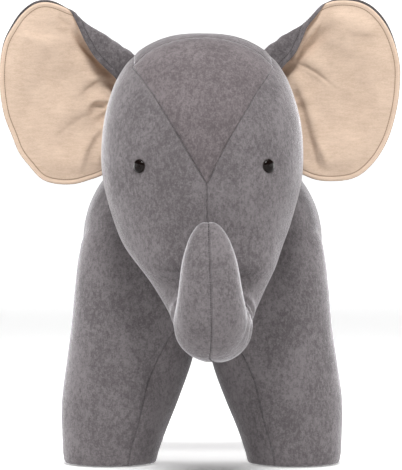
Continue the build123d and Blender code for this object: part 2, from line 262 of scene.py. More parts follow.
def cotton(name, light, dark):
    """Fine woven cotton: crossing yarns, a little slub and paler along the hem band."""
    make = Maker(name)
    place = make.place()
    yarn = {"Vector": place, "Scale": 420.0, "Distortion": 1.6, "Detail": 2.0, "Detail Scale": 3.0}
    across, along = (
        make.node("ShaderNodeTexWave", {"wave_type": "BANDS", "bands_direction": way}, yarn)[1]
        for way in "XZ"
    )
    weave = across * 0.5 + along * 0.5
    slub = make.noise(make.place((1, 1, 3.2)), 330.0, 3.0, 0.6)
    tone = make.noise(place, 34.0, 3.0, 0.55)
    streak = make.noise(make.place((1, 1, 4.5)), 70.0, 4.0, 0.65)
    fleck = make.noise(place, 900.0, 2.0, 0.7)
    share = make.band(weave * 0.2 + slub * 0.3 + tone * 0.2 + streak * 0.3 + fleck * 0.2, 0.42, 0.76)
    colour_now = make.mix(share, dark, light)
    colour_now = make.mix(make.attribute("hem") * 0.35, colour_now, scaled(light, 1.08))
    line = make.band(make.attribute("seam"), 0.2, 1.0) * 0.7
    colour_now = make.mix(line, colour_now, scaled(dark, 0.45))
    normal = make.bump(weave * 0.6 + slub * 0.4, 0.0004, 0.5, make.bump(tone, 0.002, 0.35))
    others = {"Sheen Weight": 0.12, "Sheen Roughness": 0.5, "Specular IOR Level": 0.2}
    return make.finish(colour_now, slub * 0.1 + 0.82, normal, others)


def thread(name, tint):
    """Twisted sewing thread."""
    make = Maker(name)
    twist = make.noise(make.place(), 2600.0, 2.0, 0.5)
    colour_now = make.mix(make.band(twist, 0.3, 0.7), scaled(tint, 0.7), tint)
    return make.finish(colour_now, 0.62, make.bump(twist, 0.0002, 0.6), {"Specular IOR Level": 0.35})


def gloss(name, tint, rough=0.06):
    """Polished plastic with faint moulding marks and fine scratches."""
    make = Maker(name)
    marks = make.noise(make.place(), 600.0, 3.0, 0.5)
    colour_now = make.mix(marks, scaled(tint, 0.6), scaled(tint, 1.5))
    others = {"Coat Weight": marks * 0.05, "Specular IOR Level": 0.3, "Coat Roughness": 0.04, "IOR": 1.34}
    return make.finish(colour_now, marks * 0.07 + rough, make.bump(marks, 0.0001, 0.08), others)


def moulded(name, tint):
    """Matt moulded plastic."""
    make = Maker(name)
    grain = make.noise(make.place(), 900.0, 3.0, 0.6)
    colour_now = make.mix(grain, scaled(tint, 0.85), tint)
    return make.finish(colour_now, grain * 0.2 + 0.4, make.bump(grain, 0.0002, 0.3))


def fibre(name, tint):
    """Loose polyester fibre, matted together."""
    make = Maker(name)
    strands = make.noise(make.place((1, 2.5, 1)), 160.0, 6.0, 0.75)
    colour_now = make.mix(make.band(strands, 0.3, 0.7), scaled(tint, 0.72), tint)
    return make.finish(colour_now, 0.95, make.bump(strands, 0.004, 0.8), {"Sheen Weight": 0.3})


def open_foam(name, tint):
    """Open-cell foam."""
    make = Maker(name)
    cells = make.node("ShaderNodeTexVoronoi", None, {"Vector": make.place(), "Scale": 420.0})[0]
    colour_now = make.mix(make.band(cells, 0.1, 0.6), scaled(tint, 0.6), tint)
    return make.finish(colour_now, 0.92, make.bump(cells, 0.001, 0.7))


def timber(name, tint, plies=False):
    """Pine with its rings, or birch ply with its layers."""
    make = Maker(name)
    wave, stretch, scale = ("BANDS", (0.25, 0.25, 1), 210.0) if plies else ("RINGS", (1, 1, 0.12), 55.0)
    sockets = {"Vector": make.place(stretch), "Scale": scale, "Distortion": 5.0, "Detail": 3.0}
    rings = make.node("ShaderNodeTexWave", {"wave_type": wave, "bands_direction": "Z"}, sockets)[1]
    pores = make.noise(make.place((6, 6, 0.4)), 240.0, 3.0, 0.6)
    colour_now = make.mix(rings * 0.6 + pores * 0.4, scaled(tint, 0.66, 0.58, 0.5), tint)
    normal = make.bump(rings * 0.4 + pores * 0.6, 0.0006, 0.4)
    return make.finish(colour_now, pores * 0.25 + 0.45, normal)


def zinc(name):
    """Zinc-plated steel."""
    make = Maker(name)
    stain = make.noise(make.place(), 420.0, 4.0, 0.6)
    colour_now = make.mix(stain, (0.44, 0.44, 0.42), (0.74, 0.73, 0.68))
    return make.finish(colour_now, stain * 0.25 + 0.28, make.bump(stain, 0.0001, 0.3), {"Metallic": 1.0})


def plain(name, tint):
    """The studio's floor and round backdrop: it glows, but not right in front of the toy."""
    make = Maker(name)
    place = make.place()
    tone = make.noise(place, 3.0, 2.0, 0.5)
    along = make.node("ShaderNodeSeparateXYZ", None, {0: place})[1]
    near = make.band(along, -2.6, -1.4) * (1 - make.band(along, -0.2, 0.15))
    colour_now = make.mix(near * tone * 0.9, tint, scaled(tint, 0.7))
    glow = {"Emission Color": make.mix(near, (1, 1, 1), (0.1, 0.1, 0.1)), "Emission Strength": 0.66}
    return make.finish(colour_now, 0.9, None, glow)


def cloth_material(kind):
    """The material for that part of the toy, made once."""
    name = "elephant " + kind
    if name in bpy.data.materials:
        return bpy.data.materials[name]
    c = bpy.context.scene.elephant_colours
    dark, light = tuple(c.velvet), tuple(c.nap)
    warm, warm_nap = scaled(dark, 0.97, 0.925, 0.925), scaled(light, 0.95, 0.905, 0.905)
    makers = {
        "velvet": lambda: velvet(name, dark, light),
        "forehead velvet": lambda: velvet(name, warm, warm_nap),
        "ear velvet": lambda: velvet(name, scaled(dark, 0.8), scaled(light, 0.88)),
        "sole velvet": lambda: velvet(name, scaled(dark, 0.8), scaled(light, 0.8)),
        "cotton": lambda: cotton(name, tuple(c.cotton), tuple(c.cotton_shade)),
        "grey thread": lambda: thread(name, tuple(c.grey_thread)),
        "brown thread": lambda: thread(name, tuple(c.brown_thread)),
        "eye": lambda: gloss(name, tuple(c.eye)),
        "eye rim": lambda: gloss(name, tuple(c.rim), 0.34),
        "fibre": lambda: fibre(name, tuple(c.filling)),
        "foam": lambda: open_foam(name, tuple(c.foam)),
        "pine": lambda: timber(name, tuple(c.pine)),
        "ply": lambda: timber(name, scaled(c.pine, 1.05), True),
        "zinc": lambda: zinc(name),
        "washer": lambda: moulded(name, (0.75, 0.75, 0.73)),
        "floor": lambda: plain(name, tuple(c.floor)),
    }
    return makers[kind]()


# Meshes --------------------------------------------------------------------------------------------


def mesh_of(name, verts, faces):
    """A new mesh of these points and faces."""
    mesh = bpy.data.meshes.new(name)
    mesh.from_pydata([tuple(v) for v in verts], [], [tuple(int(i) for i in f) for f in faces])
    return mesh


def new_piece(name, verts, faces, kind, smooth=True):
    """A piece of the toy in the scene, with that kind's material."""
    mesh = mesh_of(name, verts, faces)
    mesh.validate()
    mesh.polygons.foreach_set("use_smooth", [smooth] * len(mesh.polygons))
    mesh.materials.append(cloth_material(kind))
    piece = bpy.data.objects.new(name, mesh)
    bpy.context.scene.collection.objects.link(piece)
    return piece


def give_attribute(piece, name, values):
    """Writes one number for each point, which a material reads."""
    layer = piece.data.attributes.new(name, "FLOAT", "POINT")
    layer.data.foreach_set("value", np.asarray(values, np.float32))


def smoothstep(x):
    """0 below 0, 1 above 1, smooth between."""
    x = np.clip(x, 0, 1)
    return x * x * (3 - 2 * x)


def grid_faces(rings, around):
    """Quads between rings of points, each ring joined up with itself."""
    faces = []
    for i in range(rings - 1):
        for j in range(around):
            k = (j + 1) % around
            faces.append((i * around + j, i * around + k, (i + 1) * around + k, (i + 1) * around + j))
    return faces


def surface_tree(verts, tris):
    """A tree for finding the nearest or first hit point of a mesh."""
    return BVHTree.FromPolygons([Vector(v) for v in verts], tris.tolist())


def through(rows, count):
    """Rows of numbers as a smooth path through them, evenly spaced along the first three."""
    rows = np.asarray(rows, float)
    ends = np.vstack([2 * rows[0] - rows[1], rows, 2 * rows[-1] - rows[-2]])
    dense = []
    for i in range(len(rows) - 1):
        a, b, c, d = ends[i : i + 4]
        t = np.linspace(0, 1, 24, endpoint=False)[:, None]
        bend, twist = 2 * a - 5 * b + 4 * c - d, 3 * b - a - 3 * c + d
        dense.append(0.5 * (2 * b + (c - a) * t + bend * t**2 + twist * t**3))
    dense = np.vstack(dense + [rows[-1:]])
    step = np.linalg.norm(np.diff(dense[:, :3], axis=0), axis=1)
    run = np.concatenate([[0], np.cumsum(step)])
    want = np.linspace(0, run[-1], count)
    return np.column_stack([np.interp(want, run, dense[:, k]) for k in range(dense.shape[1])])


def tube(rows, around, power=2.0):
    """A closed form through sections: centre x, y, z, lean from level, half width, half depth."""
    angles = np.arange(around) / around * 2 * math.pi
    c, s = np.cos(angles), np.sin(angles)
    cx, sx = np.sign(c) * abs(c) ** (2 / power), np.sign(s) * abs(s) ** (2 / power)
    verts = []
    for x, y, z, lean, half, deep in rows:
        across = np.array([1.0, 0, 0])
        down = np.array([0, -math.sin(lean), math.cos(lean)])
        verts.append(np.array([x, y, z]) + np.outer(half * cx, across) + np.outer(deep * sx, down))
    count = len(rows)
    verts = np.vstack(verts + [np.array(rows[0][:3]), np.array(rows[-1][:3])])
    faces = grid_faces(count, around)
    top, bottom = count * around, count * around + 1
    for j in range(around):
        k = (j + 1) % around
        faces.append((top, k, j))
        faces.append((bottom, (count - 1) * around + j, (count - 1) * around + k))
    return verts, faces


def triangles_of(mesh):
    """A mesh as arrays of points and triangles."""
    mesh.calc_loop_triangles()
    tris = np.zeros(len(mesh.loop_triangles) * 3, np.int32)
    mesh.loop_triangles.foreach_get("vertices", tris)
    verts = np.zeros(len(mesh.vertices) * 3)
    mesh.vertices.foreach_get("co", verts)
    return verts.reshape(-1, 3), tris.reshape(-1, 3)


def facing_out(name, verts, faces):
    """A closed mesh with its faces pointing out."""
    mesh = mesh_of(name, verts, faces)
    shape = bmesh.new()
    shape.from_mesh(mesh)
    bmesh.ops.recalc_face_normals(shape, faces=shape.faces[:])
    shape.to_mesh(mesh)
    shape.free()
    return mesh


def outward(verts, faces):
    """The same closed mesh with its faces pointing out, as triangles."""
    mesh = facing_out("form", verts, faces)
    found = triangles_of(mesh)
    bpy.data.meshes.remove(mesh)
    return found


def merged(forms, voxel):
    """Several closed forms as one closed mesh of even squares, as triangles."""
    verts, faces, start = [], [], 0
    for v, f in forms:
        verts.append(v)
        faces += [tuple(int(i) + start for i in face) for face in f]
        start += len(v)
    mesh = facing_out("merged", np.vstack(verts), faces)
    holder = bpy.data.objects.new("merged", mesh)
    bpy.context.scene.collection.objects.link(holder)
    remesh = holder.modifiers.new("remesh", "REMESH")
    remesh.mode, remesh.voxel_size, remesh.adaptivity = "VOXEL", voxel, 0
    done = bpy.data.meshes.new_from_object(holder.evaluated_get(bpy.context.evaluated_depsgraph_get()))
    found = triangles_of(done)
    bpy.data.objects.remove(holder)
    bpy.data.meshes.remove(mesh)
    bpy.data.meshes.remove(done)
    return found


def edges_of(tris):
    """Each edge once, as a pair of points."""
    pairs = np.sort(np.vstack([tris[:, [0, 1]], tris[:, [1, 2]], tris[:, [2, 0]]]), axis=1)
    return np.unique(pairs, axis=0)


def relaxed(verts, tris, rounds, hold=None):
    """The mesh smoothed without shrinking; hold keeps a share of each point where it was."""
    edges = edges_of(tris)
    count = np.bincount(edges.ravel(), minlength=len(verts))[:, None]
    out = verts.copy()
    for turn in range(rounds * 2):
        total = np.zeros_like(out)
        for k in range(3):
            total[:, k] += np.bincount(edges[:, 0], out[edges[:, 1], k], len(verts))
            total[:, k] += np.bincount(edges[:, 1], out[edges[:, 0], k], len(verts))
        step = 0.55 if turn % 2 == 0 else -0.57
        out = out + step * (total / np.maximum(count, 1) - out)
        if hold is not None:
            out = out + hold[:, None] * (verts - out)
    return out


def border_of(faces):
    """The directed edges that only one triangle has."""
    pairs = np.vstack([faces[:, [0, 1]], faces[:, [1, 2]], faces[:, [2, 0]]])
    keys = {(int(a), int(b)) for a, b in pairs}
    return [(a, b) for a, b in keys if (b, a) not in keys]


def normals_of(verts, tris):
    """The normal at each point, from the triangles round it."""
    a, b, c = (verts[tris[:, k]] for k in range(3))
    face = np.cross(b - a, c - a)
    out = np.zeros_like(verts)
    for k in range(3):
        for axis in range(3):
            out[:, axis] += np.bincount(tris[:, k], face[:, axis], len(verts))
    return out / np.maximum(np.linalg.norm(out, axis=1), 1e-12)[:, None]


def cut(verts, tris, field):
    """Splits the triangles along the line where field, a function of points, is zero."""
    verts = verts.copy()
    value = field(verts)
    edges = edges_of(tris)
    a, b = edges[:, 0], edges[:, 1]
    crossing = value[a] * value[b] < 0
    a, b = a[crossing], b[crossing]
    share = value[a] / (value[a] - value[b])
    near = np.full(len(verts), 0.3)
    target = {}
    for i, j, t in zip(a, b, share):
        if t < near[i]:
            near[i], target[i] = t, verts[i] + (verts[j] - verts[i]) * t
        if 1 - t < near[j]:
            near[j], target[j] = 1 - t, verts[i] + (verts[j] - verts[i]) * t
    for i, point in target.items():
        verts[i] = point
    for i in target:
        value[i] = 0.0
    points, fresh, made = list(verts), {}, []
    sign = np.sign(value)

    def between(i, j):
        key = (i, j) if i < j else (j, i)
        if key not in fresh:
            t = value[i] / (value[i] - value[j])
            fresh[key] = len(points)
            points.append(points[i] + (points[j] - points[i]) * t)
        return fresh[key]

    signs = sign[tris]
    mixed = (signs.max(1) > 0) & (signs.min(1) < 0)
    for tri, s in zip(tris[mixed], signs[mixed]):
        zeros = [k for k in range(3) if s[k] == 0]
        if zeros:
            z, p, q = (tri[(zeros[0] + k) % 3] for k in range(3))
            m = between(p, q)
            made += [(z, p, m), (z, m, q)]
            continue
        alone = next(k for k in range(3) if s[k] != s[(k + 1) % 3] and s[k] != s[(k + 2) % 3])
        p, q, r = (tri[(alone + k) % 3] for k in range(3))
        m, n = between(p, q), between(p, r)
        made += [(p, m, n), (m, q, r), (m, r, n)]
    whole = tris[~mixed]
    return np.array(points), np.vstack([whole, np.array(made, int).reshape(-1, 3)])


def seam_points(tris, region):
    """Points shared by triangles of two regions."""
    low = np.full(tris.max() + 1, 99)
    high = np.full(tris.max() + 1, -1)
    for k in range(3):
        np.minimum.at(low, tris[:, k], region)
        np.maximum.at(high, tris[:, k], region)
    return np.flatnonzero((high >= 0) & (low != high))


def distance_to(verts, marked, most):
    """How far each point is from the marked ones, up to the most given."""
    tree = KDTree(len(marked))
    for n, i in enumerate(marked):
        tree.insert(Vector(verts[i]), n)
    tree.balance()
    out = np.full(len(verts), most)
    box_low, box_high = verts[marked].min(0) - most, verts[marked].max(0) + most
    inside = np.flatnonzero(((verts > box_low) & (verts < box_high)).all(1))
    for i in inside:
        out[i] = min(most, tree.find(Vector(verts[i]))[2])
    return out


WAVES = np.array(
    [(1.0, 0.31, -0.52), (-0.44, 1.0, 0.27), (0.36, -0.61, 1.0), (0.83, 0.71, 0.4), (-0.7, 0.5, 0.9)]
)


def ripple(verts, size, seed=0.0):
    """Soft random heights between -1 and 1, of about this size across."""
    p = verts / size + seed
    total = np.zeros(len(verts))
    for n, wave in enumerate(WAVES):
        total += np.sin(p @ wave * (1 + 0.17 * n) + 1.7 * n + seed)
    return total / len(WAVES)


def drawn_in(verts, tris, marked, strength=1.0):
    """The cloth pulled down beside its seams, with small puckers, and how far each point is from a seam."""
    sew = bpy.context.scene.elephant_sewing
    away = distance_to(verts, marked, 0.03)
    normal = normals_of(verts, tris)
    dip = sew.seam_dip * strength * np.exp(-((away / 0.0055) ** 2))
    pucker = sew.pucker * np.exp(-((away / 0.011) ** 2)) * ripple(verts, 0.0021, 3.0)
    moved = verts + normal * (pucker - dip)[:, None]
    return moved, away


def panel(name, verts, tris, away, kind, turned=True, tight=None):
    """One panel as its own piece: its sewn edge turns in, and its seam share rides with it."""
    sew = bpy.context.scene.elephant_sewing
    used, back = np.unique(tris, return_inverse=True)
    own, faces = verts[used], back.reshape(-1, 3)
    seam = np.exp(-((away[used] / 0.0011) ** 2))
    if tight:
        seam *= 1 - 0.8 * tight(own)
    if turned:
        border = border_of(faces)
        rim = sorted({i for pair in border for i in pair})
        normal = normals_of(own, faces)
        inner = {i: np.zeros(3) for i in rim}
        for a, b in border:
            run = own[b] - own[a]
            side = np.cross(normal[a] + normal[b], run)
            for i in (a, b):
                inner[i] = inner[i] + side / max(np.linalg.norm(side), 1e-12)
        rim_index = {i: n for n, i in enumerate(rim)}
        base = own[rim].copy()
        gap = sew.seam_gap * (1 - 0.85 * tight(base))[:, None] if tight else sew.seam_gap
        inward = np.array([inner[i] / max(np.linalg.norm(inner[i]), 1e-9) for i in rim])
        up = normal[rim]
        own = own.copy()
        own[rim] = base + inward * gap * 0.62 - up * 0.00012
        rings = [
            base + inward * gap * 0.22 - up * 0.0007,
            base + inward * gap * 0.04 - up * 0.0018,
            base + inward * gap * 0.35 - up * sew.seam_depth,
        ]
        start, extra = len(own), []
        previous = lambda i: i
        for depth in range(len(rings)):
            offset = start + depth * len(rim)
            for a, b in border:
                pa, pb = previous(a), previous(b)
                na, nb = offset + rim_index[a], offset + rim_index[b]
                extra += [(pb, pa, na), (pb, na, nb)]
            previous = lambda i, o=offset: o + rim_index[i]
        own = np.vstack([own] + rings)
        seam = np.concatenate([seam, np.tile(seam[rim], len(rings))])
        faces = np.vstack([faces, np.array(extra, int)])
    piece = new_piece(name, own, faces, kind)
    give_attribute(piece, "seam", seam)
    return piece


def filling(name, verts, tris):
    """The filling under a cover: the cover's form, a little smaller and closed."""
    piece = new_piece(name, verts - normals_of(verts, tris) * FILLING_INSET, tris, "fibre")
    return piece


def bend_with_trunk(piece):
    """Lets a piece follow the trunk's end past the bend; the head beside it stays still."""
    y, z = TRUNK_PIVOT
    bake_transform(piece, "torso", "trunk_end", start=(0, y + 0.03, z), end=(0, y - 0.03, z))
    verts = np.zeros(len(piece.data.vertices) * 3)
    piece.data.vertices.foreach_get("co", verts)
    share = trunk_share(verts.reshape(-1, 3))
    layer = piece.data.attributes["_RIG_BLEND"]
    layer.data.foreach_set("value", share.astype(np.float32))


def trunk_share(verts):
    """0 on the head, 1 on the trunk's free end, turning over round the bend between them."""
    turn = np.degrees(np.arctan2(verts[:, 1] + 0.283, 0.246 - verts[:, 2]))
    return smoothstep((52 - turn) / 100)


# Stitches ------------------------------------------------------------------------------------------


def stitch_tree(kind):
    """A node tree that lays a rounded stitch at every step of a path."""
    tree = bpy.data.node_groups.new("stitches in " + kind, "GeometryNodeTree")
    face = tree.interface
    face.new_socket("Path", in_out="INPUT", socket_type="NodeSocketGeometry")
    pitch = face.new_socket("Step", in_out="INPUT", socket_type="NodeSocketFloat")
    size = face.new_socket("Thickness", in_out="INPUT", socket_type="NodeSocketFloat")
    share = face.new_socket("Share", in_out="INPUT", socket_type="NodeSocketFloat")
    pitch.default_value, size.default_value, share.default_value = 0.0027, 0.0006, 0.66
    face.new_socket("Stitches", in_out="OUTPUT", socket_type="NodeSocketGeometry")
    new, link = tree.nodes.new, tree.links.new
    start, end = new("NodeGroupInput"), new("NodeGroupOutput")
    curve = new("GeometryNodeMeshToCurve")
    even = new("GeometryNodeResampleCurve")
    even.mode = "LENGTH"
    link(start.outputs["Path"], curve.inputs[0])
    link(curve.outputs[0], even.inputs["Curve"])
    link(start.outputs["Step"], even.inputs["Length"])
    ball = new("GeometryNodeMeshUVSphere")
    ball.inputs["Segments"].default_value, ball.inputs["Rings"].default_value = 6, 5
    ball.inputs["Radius"].default_value = 0.5
    half = new("ShaderNodeMath")
    half.operation = "MULTIPLY"
    link(start.outputs["Step"], half.inputs[0])
    link(start.outputs["Share"], half.inputs[1])
    shape = new("ShaderNodeCombineXYZ")
    link(start.outputs["Thickness"], shape.inputs[0])
    link(start.outputs["Thickness"], shape.inputs[1])
    link(half.outputs[0], shape.inputs[2])
    tangent = new("GeometryNodeInputTangent")
    turn = new("FunctionNodeAlignEulerToVector")
    turn.axis = "Z"
    link(tangent.outputs[0], turn.inputs["Vector"])
    lay = new("GeometryNodeInstanceOnPoints")
    link(even.outputs[0], lay.inputs["Points"])
    link(ball.outputs[0], lay.inputs["Instance"])
    link(turn.outputs[0], lay.inputs["Rotation"])
    link(shape.outputs[0], lay.inputs["Scale"])
    real, paint = new("GeometryNodeRealizeInstances"), new("GeometryNodeSetMaterial")
    soften = new("GeometryNodeSetShadeSmooth")
    paint.inputs["Material"].default_value = cloth_material(kind)
    link(lay.outputs[0], real.inputs[0])
    link(real.outputs[0], soften.inputs[0])
    link(soften.outputs[0], paint.inputs[0])
    link(paint.outputs[0], end.inputs[0])
    return tree, {"Step": pitch.identifier, "Thickness": size.identifier, "Share": share.identifier}


def sew_along(name, path, kind, share, thick):
    """Stitches along a path of points, as one piece."""
    lines = [(i, i + 1) for i in range(len(path) - 1)]
    mesh = bpy.data.meshes.new(name)
    mesh.from_pydata([tuple(p) for p in path], lines, [])
    holder = bpy.data.objects.new(name + "_path", mesh)
    bpy.context.scene.collection.objects.link(holder)
    tree, sockets = stitch_tree(kind)
    modifier = holder.modifiers.new("stitches", "NODES")
    modifier.node_group = tree
    modifier[sockets["Step"]] = bpy.context.scene.elephant_sewing.stitch
    modifier[sockets["Thickness"]] = thick
    modifier[sockets["Share"]] = share
    done = bpy.data.meshes.new_from_object(holder.evaluated_get(bpy.context.evaluated_depsgraph_get()))
    holder.modifiers.clear()
    bpy.data.objects.remove(holder)
    piece = bpy.data.objects.new(name, done)
    piece.name = name
    bpy.context.scene.collection.objects.link(piece)
    return piece


# Head and trunk ------------------------------------------------------------------------------------

HEAD_VOXEL = 0.0036  # size of the squares that the head's cover is made of
FILLING_INSET = 0.0065  # how far the filling stays under its cover
TRUNK_PIVOT = (-0.277, 0.188)
DROP_BEND, RISE_BEND = 0.072, 0.048
HEAD_ROWS = [  # millimetres: z, centre y, half width, half depth
    (555.5, -142, 4, 4), (555, -142, 16, 15), (551, -142, 40, 37), (542, -142.5, 64, 59),
    (528, -143, 85, 79), (506, -145, 102, 97), (480, -147, 114, 110), (445, -150, 123.5, 120),
    (407, -152, 127, 123), (369, -156, 125, 120), (331, -165, 115.5, 109), (296, -181, 103, 91),
]
DROP_ROWS = [(90, 84, 70), (66, 65, 58), (44, 52.5, 49), (22, 47, 44), (0, 45.5, 42)]
RISE_ROWS = [(-30, 45, 41.5), (-60, 41.5, 39), (-90, 37.5, 36)]
TIP_ROWS = [
    (262, 34, 33), (280, 29.5, 29), (296, 23.5, 23), (306, 17.5, 17), (312.5, 11.5, 11), (315.5, 6, 6),
    (316.5, 1.5, 1.5),
]
TRUNK_LEAN = 0.0105  # how far the bend of the trunk hangs to the toy's left
HEAD_TURN = 0.040  # how far the head looks to the toy's left, per length forward
EAR_SHIFT = -2.4  # how far both ears are sewn to the toy's right, in millimetres
FOREHEAD_LINE = [(361, 0), (382, 11.5), (412, 27.5), (446, 48), (475, 65), (507, 87), (560, 122)]
CROWN_Y, NAPE_Z, CROWN_HALF = -0.191, 0.440, 0.087


def head_rows():
    """The sections of the head and trunk, from the crown down, round the bend and up to the tip."""
    rows = []
    for z, y, half, deep in HEAD_ROWS:
        rows.append((0, y * MM, z * MM, math.pi / 2, half * MM, deep * MM))
    y0, z0 = TRUNK_PIVOT
    for table, bend in ((DROP_ROWS, DROP_BEND), (RISE_ROWS, RISE_BEND)):
        for degrees, half, deep in table:
            turn = math.radians(degrees)
            y, z = y0 + bend * math.sin(turn), z0 + bend * (1 - math.cos(turn))
            rows.append((0, y, z, turn, half * MM, deep * MM))
    for z, half, deep in TIP_ROWS:
        rows.append((0, y0 - RISE_BEND, z * MM, -math.pi / 2, half * MM, deep * MM))
    return rows


def lean_of(verts):
    """How far aside the trunk's centre line stands at each point."""
    share = trunk_share(verts)
    rise = np.clip((verts[:, 2] - 0.19) / 0.125, 0, 1)
    low = smoothstep((0.30 - verts[:, 2]) / 0.08) * smoothstep((-0.15 - verts[:, 1]) / 0.06)
    free = smoothstep((-0.283 - verts[:, 1]) / 0.03)
    brow = smoothstep((-0.2 - verts[:, 1]) / 0.06) * smoothstep((0.41 - verts[:, 2]) / 0.06)
    hang = low * (1 - free) + 0.62 * share * (1 - 0.6 * rise) * free
    return TRUNK_LEAN * hang + 0.0025 * brow * (1 - np.maximum(low, free))


def turned_head(verts):
    """The head's points with the face looking a little to the toy's left."""
    out = np.array(verts, float)
    out[:, 0] += 0.0015 + HEAD_TURN * np.maximum(-0.15 - out[:, 1], 0)
    return out


def forehead_field(verts):
    """Positive inside the forehead's pointed panel."""
    table = np.array(FOREHEAD_LINE) * MM
    line = np.interp(verts[:, 2], table[:, 0], table[:, 1], left=-0.02)
    return line - abs(verts[:, 0] - lean_of(verts))


def head_regions(verts, tris):
    """Which panel each triangle is on: left face, right face, forehead or crown."""
    middle = verts[tris].mean(1)
    centre = lean_of(middle)
    region = np.where(middle[:, 0] > centre, 0, 1)
    front = (middle[:, 1] < CROWN_Y) & (middle[:, 2] > 0.36)
    region[front & (forehead_field(middle) > 0)] = 2
    crown = (middle[:, 1] >= CROWN_Y) & (abs(middle[:, 0]) < CROWN_HALF) & (middle[:, 2] > NAPE_Z)
    region[crown] = 3
    return region


def trunk_creases(verts):
    """Folds in the cloth where the trunk turns up: short valleys across its sides and inner bend."""
    y0, z0 = TRUNK_PIVOT
    turn = np.degrees(np.arctan2(verts[:, 1] - y0, z0 + 0.052 - verts[:, 2]))
    reach = np.hypot(verts[:, 1] - y0, verts[:, 2] - z0 - 0.052)
    side = smoothstep((abs(verts[:, 0]) - 0.014) / 0.02)
    inside = smoothstep((0.084 - reach) / 0.04) * (reach < 0.12)
    height = np.zeros(len(verts))
    for at, wide, deep in ((-32, 4.5, 2.0), (-14, 4.5, 3.4), (4, 5, 4.4), (22, 5, 4.4), (42, 6, 3.2)):
        wander = 7 * np.sin(verts[:, 0] * 95 + at)
        away = (turn - at - wander) / wide
        height += deep * MM * (0.6 * np.exp(-((away - 1.6) ** 2)) - np.exp(-(away**2)))
    near = smoothstep((0.30 - verts[:, 2]) / 0.03) * smoothstep((-0.20 - verts[:, 1]) / 0.02)
    return height * inside * (0.25 + 0.75 * side) * near


class SewHead(bpy.types.Operator):
    """Sew the head and trunk: forehead, crown and two face panels that run on into the trunk"""

    bl_idname = "elephant.sew_head"
    bl_label = "Head and trunk"

    def execute(self, context):
        rows = through(head_rows(), 230)
        verts, tris = outward(*tube(rows, 176, 2.08))
        verts, tris = merged([(verts, tris)], HEAD_VOXEL)
        verts = relaxed(verts, tris, 8)
        normal = normals_of(verts, tris)
        verts = verts + normal * trunk_creases(verts)[:, None]
        verts = relaxed(verts, tris, 1)
        verts[:, 0] += lean_of(verts)
        verts, tris = cut(verts, tris, lambda p: p[:, 0] - lean_of(p) + 1e-7)
        verts, tris = cut(verts, tris, lambda p: np.where(p[:, 1] < -0.15, forehead_field(p), 1.0))
        verts, tris = cut(verts, tris, lambda p: p[:, 1] - CROWN_Y)
        verts, tris = cut(verts, tris, lambda p: np.where(p[:, 1] > -0.2, CROWN_HALF - abs(p[:, 0]), 1.0))
        verts, tris = cut(verts, tris, lambda p: np.where(p[:, 1] > -0.15, p[:, 2] - NAPE_Z, 1.0))
        region = head_regions(verts, tris)
        verts, away = drawn_in(verts, tris, seam_points(tris, region))
        verts = self.sink_eyes(verts, tris)
        verts += normals_of(verts, tris) * (0.0006 * ripple(verts, 0.021, 1.0))[:, None]
        verts = turned_head(verts)
        names = (
            ("face_cover_left", "velvet", ("face_panel_left", "trunk_panel_left")),
            ("face_cover_right", "velvet", ("face_panel_right", "trunk_panel_right")),
            ("forehead_cover", "forehead velvet", ("forehead_gusset",)),
            ("crown_cover", "velvet", ("crown_panel",)),
        )
        for number, (name, kind, nodes) in enumerate(names):
            piece = panel(name, verts, tris[region == number], away, kind, tight=trunk_share)
            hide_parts(*nodes)
            if number < 2:
                bend_with_trunk(piece)
            else:
                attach(piece, "torso")
        stuffing = filling("head_and_trunk_filling", verts, tris)
        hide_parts("head_filling", "trunk_filling")
        bend_with_trunk(stuffing)
        self.close_trunk(verts, tris)
        return {"FINISHED"}

    def sink_eyes(self, verts, tris):
        """The cloth dips where the eyes are drawn in."""
        normal = normals_of(verts, tris)
        for side in ("left", "right"):
            low, high = (np.array(corner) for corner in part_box("eye_" + side))
            middle = (low + high) / 2
            away = np.linalg.norm((verts - middle)[:, [0, 2]], axis=1) + (verts[:, 1] > -0.2) * 9
            verts = verts - normal * (0.0016 * np.exp(-((away / 0.012) ** 2)))[:, None]
        return verts

    def close_trunk(self, verts, tris):
        """The hand-sewn seam up the front of the trunk."""
        sew = bpy.context.scene.elephant_sewing
        tree = surface_tree(verts, tris)
        path = []
        y0, z0 = TRUNK_PIVOT
        for turn in np.radians(np.linspace(-5, -90, 60)):
            y, z = y0 + RISE_BEND * math.sin(turn), z0 + RISE_BEND * (1 - math.cos(turn))
            path.append(((0, y, z), (0, math.sin(turn), -math.cos(turn))))
        for z in np.linspace(z0 + RISE_BEND, 0.312, 50):
            path.append(((0, y0 - RISE_BEND, z), (0, -1, 0.0)))
        points = []
        for centre, way in path:
            aside = float(lean_of(np.array([[0, centre[1] + way[1] * 0.04, centre[2] + way[2] * 0.04]]))[0])
            start = Vector(turned_head([centre])[0]) + Vector((aside, 0, 0))
            hit = tree.ray_cast(start, Vector(way), 0.09)[0]
            if hit is not None:
                points.append(hit + Vector(way) * 0.00005)
        piece = sew_along("trunk_seam_stitches", points, "grey thread", 0.46, sew.trunk_thread)
        bend_with_trunk(piece)


# Body ----------------------------------------------------------------------------------------------

